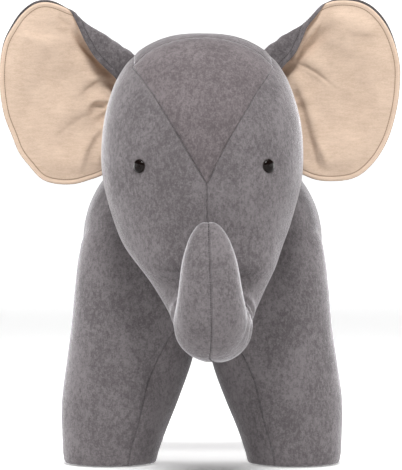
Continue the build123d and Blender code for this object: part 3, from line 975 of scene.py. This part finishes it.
TORSO_ROWS = [  # millimetres: y, share of the half sizes
    (-98, 0.04), (-97, 0.22), (-92, 0.48), (-80, 0.72), (-60, 0.87), (-30, 0.97), (30, 1.01), (120, 1.0),
    (215, 1.0), (275, 0.955), (312, 0.80), (331, 0.58), (339, 0.34), (341, 0.06),
]
TORSO_Z, TORSO_HALF, TORSO_HIGH = 290, 158, 142
BODY_VOXEL = 0.0044
LEG_ROWS = [  # millimetres: z, centre x, half width, half depth
    (0.4, 119, 20, 20), (0.6, 120, 50, 48), (2.5, 120, 57.5, 55), (7, 120, 61, 58), (14, 120, 62.5, 60),
    (40, 116, 67.5, 63), (84, 107, 76.2, 68), (136, 95, 82, 72), (190, 86, 84, 74), (240, 82.5, 83, 73),
    (275, 80.5, 81, 67), (300, 80, 75, 57), (318, 78, 60, 45), (329, 76, 38, 28), (333, 75, 8, 7),
]
LEG_Y = {"front": -0.030, "rear": 0.262}
SOLE_HALF = 0.0535
GUSSET_LINE = [  # millimetres: z, half width of the underbody panel
    (-5, 97), (0, 95), (20, 91), (47, 83), (74, 76.5), (112, 68), (140, 56), (160, 45), (180, 32),
    (197, 17), (206, 6), (210, 0),
]


def gusset_field(verts):
    """Positive on the underbody panel: a pointed arch seen from the front."""
    table = np.array(GUSSET_LINE) * MM
    line = np.interp(verts[:, 2], table[:, 0], table[:, 1], right=-0.02)
    return line - abs(verts[:, 0])


def sole_field(verts):
    """Positive on the soles."""
    best = np.full(len(verts), -1.0)
    for side in (1, -1):
        for y in LEG_Y.values():
            away = np.hypot(verts[:, 0] - side * 0.119, verts[:, 1] - y)
            best = np.maximum(best, SOLE_HALF - away)
    return np.where(verts[:, 2] < 0.012, best, -0.05)


class SewBody(bpy.types.Operator):
    """Sew the body: two side panels, the underbody panel, four soles and what fills them"""

    bl_idname = "elephant.sew_body"
    bl_label = "Body and legs"

    def execute(self, context):
        forms = [outward(*tube(self.torso_rows(), 120, 2.1))]
        for side in (1, -1):
            for y in LEG_Y.values():
                forms.append(outward(*tube(self.leg_rows(side, y), 96)))
        verts, tris = merged(forms, BODY_VOXEL)
        standing = smoothstep((0.02 - verts[:, 2]) / 0.02)
        verts = relaxed(verts, tris, 14, standing * 0.6)
        verts = self.on_the_floor(verts)
        normal = normals_of(verts, tris)
        above = smoothstep((verts[:, 2] - 0.01) / 0.05)
        verts += normal * (0.0011 * ripple(verts, 0.034, 2.0) * above)[:, None]
        verts, tris = cut(verts, tris, lambda p: p[:, 0] + 1e-7)
        verts, tris = cut(verts, tris, gusset_field)
        verts, tris = cut(verts, tris, sole_field)
        middle = verts[tris].mean(1)
        region = np.where(middle[:, 0] > 0, 0, 1)
        region[gusset_field(middle) > 0] = 2
        sole = sole_field(middle) > 0
        leg = (middle[:, 0] < 0) * 1 + (middle[:, 1] > 0.1) * 2
        region[sole] = 3 + leg[sole]
        marked = seam_points(tris, region)
        verts, away = drawn_in(verts, tris, marked)
        verts[:, 2] = np.maximum(verts[:, 2], 0.0004)
        names = [
            ("body_cover_left", "velvet", ("body_side_left",)),
            ("body_cover_right", "velvet", ("body_side_right",)),
            ("underbody_cover", "velvet", ("underbody_gusset",)),
        ]
        for end in ("front", "rear"):
            for side in ("left", "right"):
                names.append((f"sole_cover_{end}_{side}", "sole velvet", (f"sole_{end}_{side}",)))
        for number, (name, kind, nodes) in enumerate(names):
            piece = panel(name, verts, tris[region == number], away, kind)
            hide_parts(*nodes)
            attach(piece, "torso")
        self.fill(verts, tris)
        return {"FINISHED"}

    def on_the_floor(self, verts):
        """The feet pressed flat, with upright walls and a crisp edge round the sole."""
        table = np.array(sorted(LEG_ROWS))[2:] * MM
        top, core = 0.018, 0.75
        out = verts.copy()
        z = verts[:, 2]
        middle, half, deep = (np.interp(np.maximum(z, 0.007), table[:, 0], table[:, k]) for k in (1, 2, 3))
        for side in (1, -1):
            for y in LEG_Y.values():
                u, v = verts[:, 0] - side * middle, verts[:, 1] - y
                q = np.maximum(np.hypot(u / half, v / deep), 1e-6)
                here = (q < 1.25) & (z < 0.036)
                wall = q + (1 - q) * smoothstep((0.036 - z) / (0.036 - top))
                run, drop = np.maximum(q - core, 0), np.maximum(top - z, 1e-9)
                size = ((run / (1 - core)) ** 6 + (drop / (top - 0.0004)) ** 6) ** (1 / 6)
                squared = np.where(q > core, core + run / size, q)
                new = np.where(z >= top, np.where(q > 0.8, wall, q), squared)
                grow = np.where(here, new / q, 1)
                out[:, 0] = np.where(here, side * middle + u * grow, out[:, 0])
                out[:, 1] = np.where(here, y + v * grow, out[:, 1])
                deeper = np.where(q > core, top - drop / size, 0.0004)
                out[:, 2] = np.where(here & (z < top), deeper, out[:, 2])
        return out

    def torso_rows(self):
        rows = []
        for y, share in TORSO_ROWS:
            half, high = TORSO_HALF * share * MM, TORSO_HIGH * share * MM
            rows.append((0, y * MM, TORSO_Z * MM, 0.0, half, high))
        return through(rows, 120)

    def leg_rows(self, side, y):
        rows = [(side * x * MM, y, z * MM, -math.pi / 2, w * MM, d * MM) for z, x, w, d in LEG_ROWS]
        return through(rows, 90)

    def fill(self, verts, tris):
        """The fibre inside the body and legs, under its cover, and the foam pad under the back."""
        piece = filling("body_and_leg_filling", verts, tris)
        nodes = ["body_filling"]
        nodes += [f"leg_filling_{end}_{side}" for end in ("front", "rear") for side in ("left", "right")]
        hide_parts(*nodes)
        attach(piece, "torso")
        tree = surface_tree(verts, tris)
        shape, faces = triangles_of(bpy.data.objects["seat_foam"].data)
        for n, point in enumerate(shape):
            near, way, _, _ = tree.find_nearest(Vector(point))
            short = 0.009 - (near - Vector(point)).dot(way)
            if short > 0:
                shape[n] = Vector(point) - way * short
        pad = new_piece("back_foam", shape, faces, "foam", smooth=False)
        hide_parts("seat_foam")
        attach(pad, "torso")


# Ears ----------------------------------------------------------------------------------------------

EARS = {  # millimetres, seen from the front with the ear on the +X side
    "right": {
        "rim": [
            (96, 396), (126, 377), (143, 370.8), (160, 365.7), (184, 365.7), (203.4, 372.1), (217.6, 387.6),
            (231.8, 405.6), (240.8, 427.5), (251.1, 454.5), (256.2, 488), (256.2, 520.2), (251.1, 547.2),
            (240.8, 566.5), (227.9, 584.6), (211.2, 597.4), (195.7, 600), (184.1, 597.8), (172, 593),
        ],
        "fold": ((166, 589.5), (78, 529)),
        "hem": [
            (3, 1.6), (12, 6.4), (27.7, 15.6), (43.3, 24.2), (58.4, 31), (72.9, 34.5), (96, 38), (124, 38),
        ],
        "roll": (4.0, 9.5),
        "seeds": (143, 126, 160),
        "wrinkles": [  # x, z of both ends, half width, depth
            ((120, 500), (151, 482), 10, 3.0), ((124, 468), (142, 464), 6, 3.2),
            ((124, 462), (182, 430), 14, 3.2), ((128, 430), (150, 385), 9, 3.4),
            ((229, 563), (182, 558), 14, 3.0), ((182, 587), (172, 572), 8, 2.6),
            ((158, 558), (126, 510), 12, 4.5),
        ],
    },
    "left": {
        "rim": [
            (96, 400), (131, 379), (152, 370.5), (180, 369.5), (203, 375), (222, 391), (236, 411),
            (246, 434), (254, 466), (257.2, 496), (256.5, 522), (249, 550), (238, 572), (222, 590),
            (205, 599), (188, 601.5), (176, 601.5), (167, 600),
        ],
        "fold": ((163, 599), (83, 539.5)),
        "hem": [
            (8, 1.5), (26, 4.5), (37.4, 9.4), (50.3, 17.5), (62.9, 24.4), (74.8, 29.5), (91.6, 32),
            (122, 33),
        ],
        "roll": (3.6, 7.5),
        "seeds": (152, 131, 180),
        "wrinkles": [
            ((125, 478), (158, 382), 11, 4.6), ((123, 520), (168, 496), 13, 3.2),
            ((131, 529), (154, 573), 9, 4.2), ((230, 500), (254, 505), 10, 1.2),
            ((196, 560), (236, 548), 14, 1.8), ((150, 420), (158, 380), 8, 2.0),
        ],
    },
}
EAR_MIDDLE = np.array((172.0, 486.0))
FOLD_ANGLE = math.pi * 0.94  # how far the flap rolls over at the fold
EAR_CUP = np.array((88.0, 118.0))  # half width and half height of the ear's cupped middle
EAR_BACK = 0.088  # how far in front of the toy's middle the ears are sewn on
EAR_ROOT = np.array((108.0, 470.0))  # where the folds start
EAR_CENTRE = np.array((168.0, 492.0))  # where the rings of the ear's mesh close
EAR_AROUND = 330  # points round the ear's rim
EAR_RINGS = 34  # rings between the hem and the centre


def fold_of(ear):
    """Where the fold starts, the way along it, and the way across it to the flap's side."""
    start, end = (np.array(p, float) for p in ear["fold"])
    along = (end - start) / np.linalg.norm(end - start)
    beyond = np.array([-along[1], along[0]])
    return start, along, -beyond if beyond @ (EAR_MIDDLE - start) > 0 else beyond


def ear_outline(ear, count):
    """The ear's flat cut as evenly spaced points: its rim, then its flap unrolled past the fold."""
    start, along, beyond = fold_of(ear)
    points = [tuple(p) for p in ear["rim"]]
    for run, seen in ear["hem"]:
        roll = float(roll_at(ear, run))
        folded = max(seen - 0.81 * roll - pull_at(run), 0) / 0.98
        spread = roll * FOLD_ANGLE + folded - roll
        points.append(tuple(start + along * run + beyond * spread))
    points.append((66.0, 470.0))
    points.append(points[0])
    even = through(points, count + 1)[:-1]
    for _ in range(9):
        even = even * 0.5 + (np.roll(even, 1, 0) + np.roll(even, -1, 0)) * 0.25
    return even


def roll_at(ear, run):
    """The fold's radius along its length: almost flat where it starts at the ear's rim."""
    thin, thick = ear["roll"]
    run = np.asarray(run, float)
    return thin * (0.2 + 0.8 * smoothstep(run / 30.0)) + (thick - thin) * smoothstep(run / 95.0)


def pull_at(run):
    """How far the padding draws the fold in, along its length."""
    return 0.8 + 4.4 * smoothstep(np.asarray(run, float) / 40.0)


def ear_sheet(ear, flat):
    """Lays flat points of the cut out in space: cupped and rolled over along the fold."""
    start, along, beyond = fold_of(ear)
    run = np.clip((flat - start) @ along, 0, 110)
    roll = roll_at(ear, run)
    past = (flat - start) @ beyond + roll
    angle = np.clip(past / roll, 0, FOLD_ANGLE)
    rest = np.maximum(past - roll * FOLD_ANGLE, 0)
    turned = past > 0
    pulled = pull_at(run) * np.exp(np.minimum(past, 0) / 25.0)
    aside = np.where(turned, roll * np.sin(angle) + rest * math.cos(FOLD_ANGLE), past) - roll - pulled
    forward = np.where(turned, roll * (1 - np.cos(angle)) + rest * math.sin(FOLD_ANGLE), 0)
    ground = flat + np.outer(aside - (past - roll), beyond)
    cup = np.linalg.norm((ground - EAR_MIDDLE) / EAR_CUP, axis=1)
    depth = 13 * smoothstep(cup) * smoothstep((ground[:, 0] - 95) / 60) - 5
    depth -= 7 * np.exp(-(((ground[:, 0] - 128) / 34) ** 2))
    pocket = 8 * np.exp(-(((past + 24) / 18) ** 2)) * smoothstep(-past / 14) * smoothstep(run / 40)
    return np.column_stack([ground[:, 0], pocket - depth - forward, ground[:, 1]]), turned


def wrinkles_at(ear, flat):
    """Folds in the lining: soft steps from the root outward, finer gathers near it, a slack middle."""
    spoke = np.arctan2(flat[:, 1] - EAR_ROOT[1], flat[:, 0] - EAR_ROOT[0])
    reach = np.linalg.norm(flat - EAR_ROOT, axis=1)
    plane = np.column_stack([flat[:, 0], flat[:, 0] * 0, flat[:, 1]])
    seeds = ear["seeds"]
    drift = ripple(plane, 26.0, seeds[0])
    height = 0.9 * np.sin(spoke * 8 + 2.2 * drift) * np.exp(-(((reach - 34) / 30) ** 2))
    height += 3.8 * ripple(plane, 17.0, seeds[1]) + 1.1 * ripple(plane, 6.5, 2.0)
    spokes = np.column_stack([spoke * 62, reach * 0, reach * 0.3])
    height += 3.4 * ripple(spokes, 10.0, seeds[2]) * np.exp(-reach / 85)
    for a, b, wide, deep in ear["wrinkles"]:
        a, b = np.array(a, float), np.array(b, float)
        line = b - a
        span = np.linalg.norm(line)
        line = line / span
        t = (flat - a) @ line / span
        across = (flat - a) @ np.array([-line[1], line[0]]) + 3 * np.sin(t * 3.4 + deep) + 1.5 * drift
        fade = smoothstep((t + 0.25) / 0.35) * smoothstep((1.45 - t) / 0.9)
        u = across / (wide * (0.75 + 0.5 * np.clip(t, 0, 1)))
        height += 1.35 * deep * fade * (1.15 * u * np.exp(-(u**2)) - 0.3 * np.exp(-((u + 0.4) ** 2)))
        height -= 0.42 * deep * fade * np.exp(-((across / 2.6) ** 2))
    return height


class SewEars(bpy.types.Operator):
    """Sew the ears: cotton lining, velvet back, thin padding, edge stitching and the rolled flap"""

    bl_idname = "elephant.sew_ears"
    bl_label = "Ears"

    def execute(self, context):
        for side, sign in (("left", 1), ("right", -1)):
            self.sew(side, sign)
        return {"FINISHED"}

    def sew(self, side, sign):
        sew = bpy.context.scene.elephant_sewing
        ear, hem = EARS[side], sew.hem / MM
        flat, depth_in, unit, hem_ring = self.cut_out(ear, hem)
        sheet, turned = ear_sheet(ear, flat)
        faces = self.cut_faces(len(flat))
        half = self.half_thickness(depth_in, hem, sew.ear_padding / MM)
        wrinkle = wrinkles_at(ear, sheet[:, [0, 2]]) * smoothstep((depth_in - hem - 2) / 14)
        wrinkle[turned] *= 0.25
        mottle = 0.35 * ripple(sheet * MM, 0.010, 5.0) * smoothstep((depth_in - hem) / 9)
        normal = normals_of(sheet, faces)
        if normal[len(flat) - 1, 1] > 0:
            normal, faces = -normal, faces[:, ::-1]
        pleats = 0.45 * np.sin(sheet[:, 0] * 0.42) * smoothstep((140 - sheet[:, 0]) / 40) * turned
        front = sheet + normal * (half + wrinkle + mottle)[:, None]
        rear = sheet - normal * (half - 0.45 * wrinkle + pleats)[:, None]
        rear[:, [0, 2]] += self.past_the_rim(flat, depth_in, turned, unit)
        place = np.array([sign, 1, 1]) * MM
        shift = np.array([EAR_SHIFT * MM, -EAR_BACK, 0])
        order = faces if sign > 0 else faces[:, ::-1]
        made = []
        for name, points, order_now, kind, node, slot in (
            ("ear_front", front, order, "cotton", "ear_lining", "cotton"),
            ("ear_rear", rear, order[:, ::-1], "ear velvet", "ear_back", "velvet"),
        ):
            piece = new_piece(f"{name}_{side}", points * place + shift, order_now, kind)
            give_attribute(piece, "seam", np.exp(-(((depth_in - hem) / 0.75) ** 2)))
            give_attribute(piece, "hem", depth_in < hem)
            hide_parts(f"{node}_{side}")
            made.append(piece)
        core = np.maximum(half - 0.9, 0.1)
        core_front = sheet + normal * (core + wrinkle)[:, None]
        core_rear = sheet - normal * (core - 0.45 * wrinkle)[:, None]
        used, back = np.unique(faces[depth_in[faces].min(1) > hem], return_inverse=True)
        inner_faces = back.reshape(-1, 3)
        if sign < 0:
            inner_faces = inner_faces[:, ::-1]
        count = len(used)
        wall = [q for a, b in border_of(inner_faces) for q in ((b, a, a + count), (b, a + count, b + count))]
        points = np.vstack([core_front[used], core_rear[used]]) * place + shift
        shell = np.vstack([inner_faces, inner_faces[:, ::-1] + count, np.array(wall)])
        pad = new_piece(f"ear_wadding_{side}", points, shell, "fibre")
        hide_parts(f"ear_padding_{side}")
        made.append(pad)
        loop = [hem_ring * EAR_AROUND + j % EAR_AROUND for j in range(EAR_AROUND + 1)]
        for name, points, away_from, kind, slot in (
            ("ear_edge_stitches_front", front, normal, "brown thread", "cotton"),
            ("ear_edge_stitches_rear", rear, -normal, "grey thread", "velvet"),
        ):
            path = (points + away_from * 0.22)[loop] * place + shift
            piece = sew_along(f"{name}_{side}", path, kind, 0.7, sew.thread)
            made.append(piece)
        root_in, root_out = (0.088 * sign, -EAR_BACK, 0.45), (0.128 * sign, -EAR_BACK, 0.465)
        for piece in made:
            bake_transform(piece, "torso", f"ear_{side}", start=root_in, end=root_out)

    def cut_out(self, ear, hem):
        """The flat cut in rings from its rim in: points, how far in each is, ways out, the hem's ring."""
        around, centre = EAR_AROUND, EAR_CENTRE
        outline = ear_outline(ear, around)
        steps = [0, 0.35, 0.9, 1.7, 2.7, 3.8, 4.8, hem - 0.7, hem, hem + 0.7, hem + 1.8, hem + 3.4]
        steps += [hem + 5.5 + 2.7 * k for k in range(7)]
        away = outline - centre
        unit = away / np.linalg.norm(away, axis=1)[:, None]
        run = np.roll(outline, -1, 0) - np.roll(outline, 1, 0)
        run /= np.linalg.norm(run, axis=1)[:, None]
        slant = np.maximum(abs(unit[:, 0] * run[:, 1] - unit[:, 1] * run[:, 0]), 0.45)
        rings = [outline - unit * (step / slant)[:, None] for step in steps]
        depth_in = [np.full(around, step) for step in steps]
        inner = rings[-1]
        for k in range(1, EAR_RINGS):
            share = 1 - k / EAR_RINGS
            rings.append(centre + (inner - centre) * share)
            depth_in.append(np.full(around, steps[-1] + (1 - share) * 60.0))
        flat = np.vstack(rings + [centre[None]])
        return flat, np.concatenate(depth_in + [[200.0]]), unit, steps.index(hem)

    def cut_faces(self, count):
        """Triangles between the rings, and round the centre, which is the last point."""
        around = EAR_AROUND
        rings = (count - 1) // around
        faces = []
        for i in range(rings - 1):
            for j in range(around):
                a, b = i * around + j, i * around + (j + 1) % around
                faces += [(a, b, b + around), (a, b + around, a + around)]
        last = (rings - 1) * around
        faces += [(last + j, last + (j + 1) % around, count - 1) for j in range(around)]
        return np.array(faces)

    def half_thickness(self, depth_in, hem, padding):
        """Half the ear's thickness: a welt at the rim, thin at the hem, padded inside it."""
        welt = 2.3 * np.sqrt(np.clip(1 - ((depth_in - 2.6) / 2.7) ** 2, 0, 1))
        body = padding / 2 * smoothstep((depth_in - hem) / 20) + 1.15
        half = np.where(depth_in < hem - 0.9, np.maximum(welt, 0.9 * (depth_in > 0.2)), body)
        half[depth_in == 0] = 0.15
        return half

    def past_the_rim(self, flat, depth_in, turned, unit):
        """How far, in x and z, the velvet shows past the lining at the rim, most near the ear's top."""
        near_top = smoothstep((flat[:, 1] - 530) / 60) * (flat[:, 0] > 150)
        beyond = (depth_in == 0) * np.where(turned, -0.9, 0.3 + 2.8 * near_top)
        rim = beyond[:EAR_AROUND]
        for _ in range(30):
            rim[:] = (np.roll(rim, 1) + rim + np.roll(rim, -1)) / 3
        ways = np.vstack([unit] * (len(flat) // EAR_AROUND) + [np.zeros((1, 2))])
        return ways * beyond[:, None]


# Eyes and tail -------------------------------------------------------------------------------------


def turned_form(name, profile, place, outward_way, kind, around=48):
    """A round form: a profile of radius and height, turned about an axis that points outward."""
    way = Vector(outward_way).normalized()
    side = way.orthogonal().normalized()
    other = way.cross(side)
    verts = []
    for radius, height in profile:
        for j in range(around):
            angle = 2 * math.pi * j / around
            point = Vector(place) + way * height
            verts.append(point + (side * math.cos(angle) + other * math.sin(angle)) * radius)
    faces = grid_faces(len(profile), around)
    faces.append(tuple(range(around))[::-1])
    faces.append(tuple((len(profile) - 1) * around + j for j in range(around)))
    verts, tris = outward([tuple(v) for v in verts], faces)
    return new_piece(name, verts, tris, kind)


EYE_ASIDE, EYE_HIGH, EYE_SHIFT = 0.0785, 0.384, 0.005  # metres from the middle, up, and to the toy's left
EYE_RADIUS, EYE_RISE = 0.0081, 0.0036
SHANK_RADIUS, SHANK_LONG = 0.0019, 0.013
RIM_RADIUS, RIM_THICK = 0.0081, 0.0005
WASHER = [(0.0022, -0.0088), (0.0088, -0.0088), (0.009, -0.0080), (0.0088, -0.0070), (0.0022, -0.0070)]


class SetEyes(bpy.types.Operator):
    """Set the domed eyes with their rims, shanks and washers"""

    bl_idname = "elephant.set_eyes"
    bl_label = "Eyes"

    def execute(self, context):
        for side, sign in (("left", 1), ("right", -1)):
            verts, tris = triangles_of(bpy.data.objects["face_cover_" + side].data)
            tree = surface_tree(verts, tris)
            start = Vector((sign * EYE_ASIDE + EYE_SHIFT, -0.6, EYE_HIGH))
            hit, normal = tree.ray_cast(start, Vector((0, 1, 0)))[:2]
            way = Vector((normal.x, normal.y, normal.z * 0.4)).normalized()
            place = hit + way * 0.0008
            dome = [(SHANK_RADIUS, -SHANK_LONG), (SHANK_RADIUS, -0.0016), (0.0076, -0.0012)]
            dome.append((EYE_RADIUS, -0.0004))
            for t in np.linspace(0, 1.5, 14):
                dome.append((EYE_RADIUS * math.cos(t), 0.0004 + EYE_RISE * math.sin(t)))
            eye = turned_form(f"eye_dome_{side}", dome, place, way, "eye")
            ring = [(0.0086, -0.0008)]
            for t in np.linspace(-0.4, math.pi + 0.2, 10):
                ring.append((RIM_RADIUS + RIM_THICK * math.cos(t), 0.0002 + RIM_THICK * math.sin(t)))
            ring.append((0.0071, -0.0008))
            rim = turned_form(f"eye_rim_{side}", ring, place, way, "eye rim")
            washer = turned_form(f"eye_back_{side}", WASHER, place, way, "washer")
            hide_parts(f"eye_{side}")
            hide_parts(f"eye_washer_{side}")
            for piece, slot in ((eye, "eye_plastic"), (rim, "eye_plastic"), (washer, "washer_plastic")):
                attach(piece, "torso")
        return {"FINISHED"}


TAIL_Y = 0.3495
TAIL_ROWS = [  # millimetres: z, radius
    (341, 1), (340.5, 4), (337, 7.4), (330, 8.9), (310, 8.8), (285, 8.6), (262, 8.5), (235, 8.7),
    (208, 9.1), (196, 8.6), (190, 5.5), (188.5, 1),
]
YARN_ENDS, YARN_SIDES, YARN_STEPS, YARN_RADIUS = 74, 6, 9, 0.0009
YARN_SHORT, YARN_LONG, YARN_SWAY = 0.040, 0.0465, 0.002
TASSEL_TOP = 0.1915


class SewTail(bpy.types.Operator):
    """Sew the tail: a stuffed velvet tube with a seam, hung from its tab, and a yarn tassel"""

    bl_idname = "elephant.sew_tail"
    bl_label = "Tail"

    def execute(self, context):
        y = TAIL_Y
        rows = [(0, y, z * MM, math.pi / 2, r * MM, r * MM) for z, r in TAIL_ROWS]
        verts, tris = outward(*tube(through(rows, 90), 40))
        verts, tris = cut(verts, tris, lambda p: p[:, 0] + 1e-7)
        middle = verts[tris].mean(1)
        front_seam = (middle[:, 0] <= 0) & (middle[:, 1] < y)
        marked = seam_points(tris, front_seam.astype(int))
        verts, away = drawn_in(verts, tris, marked, 0.6)
        piece = panel("tail_cover", verts, tris, away, "velvet", turned=False)
        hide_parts("tail_upper", "tail_lower")
        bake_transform(piece, "tail", "tail_end", start=(0, y, 0.286), end=(0, y, 0.238))
        self.tassel(y)
        return {"FINISHED"}

    def tassel(self, y):
        """Yarn ends tied round the tail's tip."""
        random = np.random.default_rng(7)
        verts, faces = [], []
        sides, steps = YARN_SIDES, YARN_STEPS
        for _ in range(YARN_ENDS):
            angle, ring = random.uniform(0, 2 * math.pi), math.sqrt(random.uniform(0, 1))
            out = np.array([math.cos(angle), math.sin(angle), 0]) * ring
            drop = random.uniform(YARN_SHORT, YARN_LONG)
            start = len(verts)
            sway = random.uniform(-YARN_SWAY, YARN_SWAY, 2)
            for i in range(steps):
                t = i / (steps - 1)
                wide = 0.0045 + 0.0058 * smoothstep(np.array(t * 1.6)) - 0.001 * t
                middle = np.array([0, y, TASSEL_TOP - drop * t]) + out * float(wide)
                middle[:2] += sway * t * t
                radius = YARN_RADIUS * (1 - 0.35 * t)
                for j in range(sides):
                    a = 2 * math.pi * j / sides
                    verts.append(middle + radius * np.array([math.cos(a), math.sin(a), 0]))
            for i in range(steps - 1):
                for j in range(sides):
                    k = (j + 1) % sides
                    a, b = start + i * sides, start + (i + 1) * sides
                    faces.append((a + j, b + j, b + k, a + k))
            faces.append(tuple(start + j for j in range(sides)))
            faces.append(tuple(start + (steps - 1) * sides + j for j in range(sides))[::-1])
        tuft = new_piece("tail_tassel", verts, faces, "ear velvet")
        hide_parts("tail_tuft")
        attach(tuft, "tail_end")


# Frame and stage -----------------------------------------------------------------------------------


class DressFrame(bpy.types.Operator):
    """Give the timber frame, screws and tail tab their finishes"""

    bl_idname = "elephant.dress_frame"
    bl_label = "Frame"

    def execute(self, context):
        finishes = (
            (("leg_post", "neck_post", "front_apron", "rear_apron", "spine_rail"), "pine"),
            (("seat_board", "head_plate", "foot_disc"), "ply"),
            (("frame_screws",), "zinc"),
            (("tail_tab",), "velvet"),
        )
        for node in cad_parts:
            piece = bpy.data.objects.get(node)
            for starts, kind in finishes:
                if piece and node.startswith(starts):
                    piece.data.materials.clear()
                    piece.data.materials.append(cloth_material(kind))
        return {"FINISHED"}


STUDIO_ROWS = [  # radius and height of the floor, which rises into a round wall
    (0.3, 0.0), (2.0, 0.0), (4.0, 0.0), (6.0, 0.0), (7.6, 0.0), (8.5, 0.25), (9.0, 1.2), (9.1, 2.6),
]
LIGHTS = (  # name, place, size, power
    ("top_front", (0.0, -2.1, 3.0), 0.9, 100),
    ("left", (-2.8, -0.6, 0.7), 1.2, 7),
    ("right", (2.8, -0.6, 0.7), 1.2, 7),
    ("back_left", (-2.1, 1.0, 0.5), 1.5, 38),
    ("back_right", (2.1, 1.0, 0.5), 1.5, 38),
    ("top", (0.0, 0.2, 2.8), 1.6, 40),
)
LIGHTS_AIM = Vector((0, -0.05, 0.3))


class SetStage(bpy.types.Operator):
    """Set the floor, backdrop, soft lights and camera"""

    bl_idname = "elephant.set_stage"
    bl_label = "Stage"

    def execute(self, context):
        stage = context.scene.elephant_stage
        path, around = through([(r, z, 0) for r, z in STUDIO_ROWS], 60), 96
        turn = [2 * math.pi * k / around for k in range(around)]
        verts = [(r * math.cos(t), r * math.sin(t), max(z, 0)) for r, z in path[:, :2] for t in turn]
        faces = [tuple(range(around))]
        for i in range(len(path) - 1):
            for k in range(around):
                a, b = i * around + k, i * around + (k + 1) % around
                faces.append((a, a + around, b + around, b))
        floor = new_piece("floor", verts, faces, "floor")
        world = bpy.data.worlds.new("studio")
        world.use_nodes = True
        world.node_tree.nodes["Background"].inputs[0].default_value = (1, 1, 1, 1)
        world.node_tree.nodes["Background"].inputs[1].default_value = stage.light
        context.scene.world = world
        for name, place, size, power in LIGHTS:
            light = bpy.data.lights.new(name, "AREA")
            light.shape, light.size, light.energy = "SQUARE", size, power
            lamp = bpy.data.objects.new(name, light)
            lamp.location = place
            lamp.rotation_euler = (LIGHTS_AIM - Vector(place)).to_track_quat("-Z", "Y").to_euler()
            context.scene.collection.objects.link(lamp)
        camera = bpy.data.cameras.new("camera")
        camera.sensor_fit, camera.sensor_height = "VERTICAL", 24.0
        away = stage.distance - EAR_BACK
        camera.lens = 24.0 * away / stage.tall
        camera.clip_end = 60
        eye = bpy.data.objects.new("camera", camera)
        aim = Vector((stage.aside, 0, stage.height))
        eye.location = aim + Vector((math.sin(stage.turn), -math.cos(stage.turn), 0)) * stage.distance
        eye.rotation_euler = (aim - eye.location).to_track_quat("-Z", "Y").to_euler()
        context.scene.collection.objects.link(eye)
        context.scene.camera = eye
        context.scene.view_settings.view_transform = "Standard"
        return {"FINISHED"}


class ElephantPanel(bpy.types.Panel):
    """Every size and colour, and a button for each step"""

    bl_idname = "VIEW3D_PT_elephant"
    bl_label = "Stuffed elephant"
    bl_space_type = "VIEW_3D"
    bl_region_type = "UI"
    bl_category = "Elephant"

    def draw(self, context):
        layout = self.layout
        for group in (
            context.scene.elephant_sewing,
            context.scene.elephant_colours,
            context.scene.elephant_stage,
        ):
            box = layout.box()
            for name in group.__annotations__:
                box.prop(group, name)
        for step in STEPS:
            layout.operator(step.bl_idname)


STEPS = (SetStage, DressFrame, SewHead, SewBody, SewEars, SetEyes, SewTail)
CLASSES = (ElephantSewing, ElephantColours, ElephantStage) + STEPS + (ElephantPanel,)


def register():
    for each in CLASSES:
        bpy.utils.register_class(each)
    bpy.types.Scene.elephant_sewing = PointerProperty(type=ElephantSewing)
    bpy.types.Scene.elephant_colours = PointerProperty(type=ElephantColours)
    bpy.types.Scene.elephant_stage = PointerProperty(type=ElephantStage)


def unregister():
    for name in ("elephant_stage", "elephant_colours", "elephant_sewing"):
        delattr(bpy.types.Scene, name)
    for each in reversed(CLASSES):
        bpy.utils.unregister_class(each)


def main():
    register()
    for step in STEPS:
        group, name = step.bl_idname.split(".")
        getattr(getattr(bpy.ops, group), name)()


if __name__ == "__main__":
    main()
